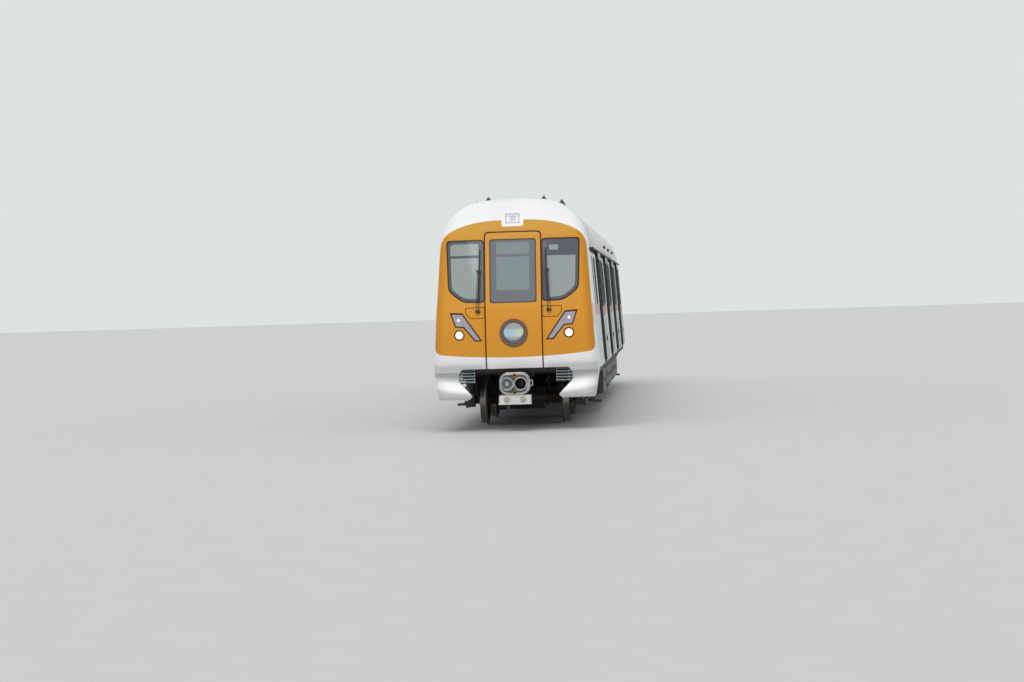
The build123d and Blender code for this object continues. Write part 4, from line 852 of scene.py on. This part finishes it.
# painted shade along the foot and above the bulge, which stays bright as a painted highlight
lower = map_range(above_foot, 0.8, 0, 0.0, 0.07)
upper = map_range(above_foot, 0, 1, 0.15, 0.27)
colour = mix_colours(highest(lower, upper), SKIRT_BRIGHT, SKIRT_SHADE)
rough = map_range(object_noise(tree, 3), 0.24, 0.36)
feed(shader, {"Base Color": colour, "Roughness": rough})
print("nodes in the skirt", len(tree.nodes))

# %% [markdown]
# The louvre slats beside the coupler are blue-grey along their upper edges and painted
# near black below, as painted shade under each slat. This repeats with the slats' pitch,
# so only the fraction of a pitch counts.

# %% Louvres
SLAT_FOOT = 0.834
SLAT_PITCH = 0.0504
SLAT_SHADE = (0.012, 0.018, 0.020)
SLAT_BLUE = ((0.36, 0.44, 0.46), (0.52, 0.60, 0.61))

slat_blue, tree, shader = new_material("slat_blue")
x, ax, y, z = position(tree)
blue = mix_colours(object_noise(tree, 8), *SLAT_BLUE)
slats_up = maths("DIVIDE", maths("SUBTRACT", z, SLAT_FOOT), SLAT_PITCH)
place_on_slat = maths("FRACT", slats_up)
# painted shade on the lower part of each slat
colour = mix_colours(map_range(place_on_slat, 0, 1, 0.44, 0.50), SLAT_SHADE, blue)
feed(shader, {"Base Color": colour, "Roughness": 0.45})
print("slat pitch", SLAT_PITCH)

# %% [markdown]
# The coupler is bare cast steel. Its face is brown with grease inside a pale rim, its
# funnel is painted dark as painted shade in the hollow, its cone carries a painted
# blue-grey sheen, and brass bushes sit in the air connections, so the finish asks how far
# a point lies from each of those centres, and whether it is sunk behind the face.

# %% Coupler
COUPLER_FACE = -11.1
SUNK = 0.014
HEAD_LENGTH = 0.20
FACE_PLATE = ((-0.222, 0.671), (0.222, 0.985))
FUNNEL = (0.103, 0.828)
CONE = (-0.128, 0.828)
MOUTH_R = 0.098
AIR_HOLES = ((0.0, 0.973), (0.0, 0.683))
AIR_HOLE_R = 0.030
CAST_SHADES = ((0.30, 0.29, 0.28), (0.54, 0.54, 0.53))
GREASE_SHADES = ((0.025, 0.022, 0.017), (0.15, 0.135, 0.110))
FUNNEL_SHADOW_TONES = ((0.012, 0.012, 0.013), (0.055, 0.050, 0.045))
CONE_SHEEN_TONES = ((0.13, 0.16, 0.18), (0.42, 0.48, 0.50))

coupler_cast, tree, shader = new_material("coupler_cast")
x, ax, y, z = position(tree)
worn = object_noise(tree, 12, detail=5)
colour = mix_colours(map_range(worn, 0, 1, 0.35, 0.65), *CAST_SHADES)
plate = frame_distance(x, z, *FACE_PLATE, 0.19)
funnel_lip = round_distance(x, z, FUNNEL, 0.118)
cone_lip = round_distance(x, z, CONE, 0.114)
off_lips = beyond(maths("MINIMUM", funnel_lip, cone_lip), soft=0.004)
greasy = both(inside(plate, soft=0.006), off_lips)
colour = mix_colours(greasy, colour, mix_colours(worn, *GREASE_SHADES))
sunk = beyond(y, COUPLER_FACE + SUNK)
in_funnel = both(inside(round_distance(x, z, FUNNEL, MOUTH_R), -0.004), sunk)
# painted shade inside the funnel
colour = mix_colours(in_funnel, colour, mix_colours(worn, *FUNNEL_SHADOW_TONES))
cone_place = round_distance(x, z, CONE, MOUTH_R)
on_cone = both(inside(cone_place, -0.003), sunk)
# painted sheen on the cone
colour = mix_colours(on_cone, colour, mix_colours(worn, *CONE_SHEEN_TONES))
cone_tip = both(inside(cone_place, -0.070), sunk)
colour = mix_colours(cone_tip, colour, (0.30, 0.22, 0.08))
for hole in AIR_HOLES:
    bush = round_distance(x, z, hole, AIR_HOLE_R)
    colour = mix_colours(band(bush, -0.009, 0.004), colour, (0.30, 0.21, 0.07))
    colour = mix_colours(inside(bush, -0.009), colour, (0.02, 0.02, 0.02))
colour = mix_colours(beyond(y, COUPLER_FACE + HEAD_LENGTH), colour, (0.05, 0.05, 0.05))
rough = map_range(worn, 0.34, 0.60)
feed(shader, {"Base Color": colour, "Roughness": rough, "Metallic": 0.35})
bump(shader, worn, strength=0.12, distance=0.003)
print("nodes in the coupler", len(tree.nodes))

# %% [markdown]
# The electric head below the coupler has a pale lid with two olive contact covers.

# %% Electric head
CONTACT_COVER = (0.14, 0.564)
CONTACT_COVER_R = 0.026
LID_SHADES = ((0.50, 0.50, 0.50), (0.74, 0.74, 0.73))

head_pale, tree, shader = new_material("head_pale")
x, ax, y, z = position(tree)
cover = round_distance(ax, z, CONTACT_COVER, CONTACT_COVER_R)
colour = mix_colours(object_noise(tree, 14), *LID_SHADES)
colour = mix_colours(band(cover, -0.03, 0.0), colour, (0.42, 0.44, 0.08))
colour = mix_colours(band(cover, 0.0, 0.022), colour, (0.36, 0.37, 0.36))
feed(shader, {"Base Color": colour, "Roughness": 0.4})
print("nodes in the electric head", len(tree.nodes))

# %% [markdown]
# Every node of the model names the material slot that it takes its finish from, so one
# table from slots to finishes dresses nearly all of them. A few nodes share a slot but
# look different on the real car, such as the escape door's pane or the coupler's head,
# and those get their finish by name, as does each wheelset.

# %% Dress the model's own pieces
finish_of_slot = {
    "stainless": wall_steel,
    "door_steel": door_steel,
    "roof_paint": roof_finish,
    "front_moulding": front_paint,
    "skirt_paint": skirt_white,
    "glass": windscreen_glass,
    "tinted_glass": side_glass,
    "lamp_lens": lamp_lens,
    "lamp_body": plain["desk_grey"],
    "sign_face": display_face,
    "roundel": roundel_finish,
    "interior_panel": plain["panel_pale"],
    "desk": plain["desk_grey"],
    "seat_cloth": plain["seat_blue"],
    "bench_steel": plain["bench_steel"],
    "rail_steel": plain["pole_steel"],
    "black_rubber": plain["black_rubber"],
    "dark_paint": plain["dark_paint"],
    "bogie_paint": plain["bogie_paint"],
    "coupler_steel": plain["cast_steel"],
    "case_grey": plain["case_grey"],
    "antenna_plastic": plain["antenna_black"],
}
finish_of_node = {
    "evac_door_glass": escape_glass,
    "front_louvres": slat_blue,
    "electric_head": head_pale,
    "coupler_head": coupler_cast,
    "air_conditioners": plain["air_grey"],
    "air_compressor": plain["drive_grey"],
    "drives_front": plain["drive_grey"],
    "drives_rear": plain["drive_grey"],
}
for number, finish in enumerate(wheel_finishes, start=1):
    finish_of_node[f"wheelset_{number}"] = finish
slot_of_node = {entry["node"]: entry["material_slot"] for entry in frame["record"]["subparts"]}
for node, piece in frame["nodes"].items():
    finish = finish_of_node.get(node) or finish_of_slot[slot_of_node[node]]
    for slot in piece.material_slots:
        slot.material = finish
print("nodes dressed", len(frame["nodes"]))

# %% [markdown]
# The added pieces are modelled as by hand. A few helpers keep each step short. They put
# down a box or a cylinder, choose its faces or points in edit mode, and join pieces. One
# ends a piece: it bakes place and turn into the mesh, so that the object stands at the
# origin, applies the bevel, and ties the piece to the body that carries it. The last
# one copies a finished piece, each copy with its own mesh.

# %% Helpers for modelling
# columns: side of the car, whether a copy there is mirrored
HANDS = (("right", False), ("left", True))
FACING_OUT = (0, math.radians(90), 0)


def start_box(name, centre, size):
    """A new box, alone selected."""
    bpy.ops.object.select_all(action="DESELECT")
    bpy.ops.mesh.primitive_cube_add(size=1, location=centre, scale=size)
    piece = bpy.context.object
    piece.name = name
    return piece


def start_round(name, centre, radius, depth, sides, rotation):
    """A new cylinder, alone selected."""
    bpy.ops.object.select_all(action="DESELECT")
    bpy.ops.mesh.primitive_cylinder_add(
        radius=radius, depth=depth, vertices=sides, location=centre, rotation=rotation
    )
    piece = bpy.context.object
    piece.name = name
    return piece


def edit_only(piece, kind, chosen):
    """Bakes the place into the mesh and goes into edit mode with what is chosen selected.

    kind is "polygons" or "vertices", and chosen tells of one of them whether it is meant.
    """
    bpy.ops.object.transform_apply(location=True, rotation=True, scale=True)
    bpy.ops.object.mode_set(mode="EDIT")
    bpy.ops.mesh.select_all(action="DESELECT")
    bpy.ops.object.mode_set(mode="OBJECT")
    for element in getattr(piece.data, kind):
        element.select = chosen(element)
    bpy.ops.object.mode_set(mode="EDIT")


def inset_and_push(width, way):
    """Insets the selected face by a width and moves what is left of it a way."""
    bpy.ops.mesh.inset(thickness=width)
    bpy.ops.mesh.extrude_region_move(TRANSFORM_OT_translate={"value": tuple(way)})


def join_pieces(pieces):
    """Joins pieces into the first of them."""
    bpy.ops.object.select_all(action="DESELECT")
    for piece in pieces:
        piece.select_set(True)
    bpy.context.view_layer.objects.active = pieces[0]
    bpy.ops.object.join()
    return bpy.context.object


def settle(piece, finish, body, bevel, segments=2):
    """Applies place, turn and bevel, gives the finish and ties the piece to its body."""
    bpy.ops.object.transform_apply(location=True, rotation=True, scale=True)
    modifier = piece.modifiers.new("rounded", "BEVEL")
    modifier.width = bevel
    modifier.segments = segments
    modifier.limit_method = "ANGLE"
    bpy.ops.object.modifier_apply(modifier=modifier.name)
    bpy.ops.object.shade_smooth_by_angle(angle=math.radians(35))
    piece.data.materials.clear()
    piece.data.materials.append(finish)
    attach(piece, body)


def copy_shifted(piece, name, shift, body, mirrored):
    """A copy with its own mesh, moved, and mirrored across the middle plane if asked."""
    bpy.ops.object.select_all(action="DESELECT")
    twin = piece.copy()
    twin.data = piece.data.copy()
    twin.name = name
    twin.parent = None
    twin.matrix_world = Matrix.Identity(4)
    scene.collection.objects.link(twin)
    twin.data.transform(Matrix.Translation(shift))
    if mirrored:
        twin.data.transform(Matrix.Scale(-1, 4, (1, 0, 0)))
        twin.data.flip_normals()
    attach(twin, body)


# %% [markdown]
# Each sliding leaf ends in a rubber nosing that stands a few millimetres proud. Seen
# along the car, the nosings and the leaves' dark edges make the strong uprights. One is
# modelled: a slim box whose upper end is moved inward to follow the leaning wall, with
# its edges bevelled. It is then copied to both edges of all sixteen leaves.

# %% Door nosings
LEAF_HEIGHTS = (1.062 + TREAD, 3.085 + TREAD)
NOSING_THICK = 0.016
NOSING_LONG = 0.034
NOSING_FROM_SKIN = 0.038
NOSING_SEAT = 0.001

height = LEAF_HEIGHTS[1] - LEAF_HEIGHTS[0]
nosing_centre = (
    skin_x(LEAF_HEIGHTS[0]) + NOSING_FROM_SKIN + NOSING_THICK / 2,
    DOOR_FIRST - LEAF_EDGE + NOSING_SEAT + NOSING_LONG / 2,
    sum(LEAF_HEIGHTS) / 2,
)
nosing = start_box("nosing_right_1_front", nosing_centre, (NOSING_THICK, NOSING_LONG, height))
edit_only(nosing, "vertices", lambda vertex: vertex.co.z > nosing_centre[2])
bpy.ops.transform.translate(value=(-WALL_LEAN * height, 0, 0))
bpy.ops.object.mode_set(mode="OBJECT")
settle(nosing, plain["black_rubber"], "door_right_1_front", bevel=0.006)

closing_front = LEAF_EDGE - LEAF_GAP - NOSING_LONG - 2 * NOSING_SEAT
closing_rear = LEAF_EDGE + LEAF_GAP + NOSING_SEAT
opening_rear = 2 * LEAF_EDGE - NOSING_LONG - 2 * NOSING_SEAT
# for each leaf of a doorway, how far behind the first nosing its two nosings stand
NOSING_SHIFTS = {"front": (0.0, closing_front), "rear": (closing_rear, opening_rear)}
made = 1
for number in range(1, 5):
    for end, shifts in NOSING_SHIFTS.items():
        for index, shift_y in enumerate(shifts):
            for hand, mirrored in HANDS:
                if (hand, number, end, index) != ("right", 1, "front", 0):
                    name = f"nosing_{hand}_{number}_{end}_{index}"
                    shift = (0, (number - 1) * DOOR_PITCH + shift_y, 0)
                    copy_shifted(nosing, name, shift, f"door_{hand}_{number}_{end}", mirrored)
                    made += 1
print("door nosings", made)

# %% [markdown]
# Three small dark lamps stand out from each side of the roof, a hand's breadth above the
# doors' cover. A short cylinder is turned to the slope, its outer face is inset and
# pushed in round the lens, and it is copied along both sides.

# %% Door lamps
DOOR_LAMP_ANGLE = math.radians(11)
DOOR_LAMP_STAND = 0.014
DOOR_LAMP_R = 0.034
DOOR_LAMP_DEPTH = 0.07
DOOR_LAMP_YS = (-0.7, 2.25, 5.5)

way_out = Vector((math.cos(DOOR_LAMP_ANGLE), 0, math.sin(DOOR_LAMP_ANGLE)))
lamp_centre = Vector((ROOF_SHOULDER[0], DOOR_LAMP_YS[0], ROOF_SHOULDER[1]))
lamp_centre += (ROOF_RADIUS + DOOR_LAMP_STAND) * way_out
lamp_turn = (0, math.radians(90) - DOOR_LAMP_ANGLE, 0)
lamp = start_round("door_lamp_right_1", lamp_centre, DOOR_LAMP_R, DOOR_LAMP_DEPTH, 32, lamp_turn)
edit_only(lamp, "polygons", lambda polygon: polygon.normal.dot(way_out) > 0.9)
inset_and_push(0.009, -0.008 * way_out)
bpy.ops.object.mode_set(mode="OBJECT")
settle(lamp, plain["antenna_black"], "car_body", bevel=0.003)
for index, lamp_y in enumerate(DOOR_LAMP_YS):
    for hand, mirrored in HANDS:
        if (hand, index) != ("right", 0):
            shift = (0, lamp_y - DOOR_LAMP_YS[0], 0)
            copy_shifted(lamp, f"door_lamp_{hand}_{index + 1}", shift, "car_body", mirrored)
print("door lamps", len(HANDS) * len(DOOR_LAMP_YS))

# %% [markdown]
# One leaf of each doorway carries a door button in a round housing near its closing
# edge, where it travels with the leaf and nothing slides over it. It starts as a flat
# cylinder on the leaf, whose outer face is inset twice: once pushed in for the groove
# and once pulled out for the button.

# %% Door buttons
BUTTON_HEIGHT = 1.45 + TREAD
BUTTON_FROM_MIDDLE = 0.11
BUTTON_R = 0.050
BUTTON_DEPTH = 0.024
LEAF_OUT = 0.050

button_x = skin_x(BUTTON_HEIGHT) + LEAF_OUT
button_centre = (button_x + 0.002, DOOR_FIRST + BUTTON_FROM_MIDDLE, BUTTON_HEIGHT)
button = start_round("door_button_right_1", button_centre, BUTTON_R, BUTTON_DEPTH, 32, FACING_OUT)
edit_only(button, "polygons", lambda polygon: polygon.normal.x > 0.9)
inset_and_push(0.014, (-0.006, 0, 0))
inset_and_push(0.006, (0.009, 0, 0))
bpy.ops.object.mode_set(mode="OBJECT")
settle(button, plain["black_rubber"], "door_right_1_rear", bevel=0.002)
made = 1
for number in range(1, 5):
    for hand, mirrored in HANDS:
        if (hand, number) != ("right", 1):
            name = f"door_button_{hand}_{number}"
            shift = (0, (number - 1) * DOOR_PITCH, 0)
            copy_shifted(button, name, shift, f"door_{hand}_{number}_rear", mirrored)
            made += 1
print("door buttons", made)

# %% [markdown]
# The cover of each axle box is held by six bolts. One bolt is a short six-sided
# cylinder with a bevelled head. Six are set round the axle and joined in one mesh, and
# the ring of bolts is copied to the other seven boxes.

# %% Axle box bolts
COVER_X = 1.062
BOLTS = 6
BOLT_CIRCLE = 0.072
BOLT_R = 0.011
BOLT_LENGTH = 0.016

first_axle = AXLE_YS["front"][0]
bolts = []
for k in range(BOLTS):
    angle = math.radians(360 / BOLTS * k + 30)
    bolt_y = first_axle + BOLT_CIRCLE * math.cos(angle)
    bolt_z = AXLE_HEIGHT + BOLT_CIRCLE * math.sin(angle)
    place = (COVER_X + BOLT_LENGTH / 4, bolt_y, bolt_z)
    bolts.append(start_round(f"bolt_{k}", place, BOLT_R, BOLT_LENGTH, 6, FACING_OUT))
bolt_ring = join_pieces(bolts)
bolt_ring.name = "axle_bolts_right_1"
settle(bolt_ring, plain["cast_steel"], "front_bogie", bevel=0.002, segments=1)
made = 1
for end, axle_ys in AXLE_YS.items():
    for index, axle_y in enumerate(axle_ys):
        for hand, mirrored in HANDS:
            if (end, index, hand) != ("front", 0, "right"):
                name = f"axle_bolts_{hand}_{end}_{index}"
                copy_shifted(bolt_ring, name, (0, axle_y - first_axle, 0), f"{end}_bogie", mirrored)
                made += 1
print("axle box bolt rings", made)

# %% [markdown]
# Under the sole bars run conduits with the power and brake lines. A thin cylinder is laid
# along the car, and clips made from short boxes hold it. Both are joined into one piece a
# side.

# %% Conduits
CONDUIT_X = 1.365
CONDUIT_Z = 0.905
CONDUIT_R = 0.022
CONDUIT_LENGTH = 10.4
CLIPS = 11
CLIP_PITCH = 1.0
CLIP_Z = 0.914
CLIP_SIZE = (0.058, 0.04, 0.058)

lengthwise = (math.radians(90), 0, 0)
conduit_centre = (CONDUIT_X, 0.0, CONDUIT_Z)
pieces = [start_round("conduit_right", conduit_centre, CONDUIT_R, CONDUIT_LENGTH, 16, lengthwise)]
for k in range(CLIPS):
    clip_y = (k - (CLIPS - 1) / 2) * CLIP_PITCH
    pieces.append(start_box(f"clip_{k}", (CONDUIT_X, clip_y, CLIP_Z), CLIP_SIZE))
conduit = join_pieces(pieces)
settle(conduit, plain["dark_paint"], "car_body", bevel=0.004)
copy_shifted(conduit, "conduit_left", (0, 0, 0), "car_body", True)
print("conduit clips a side", CLIPS)
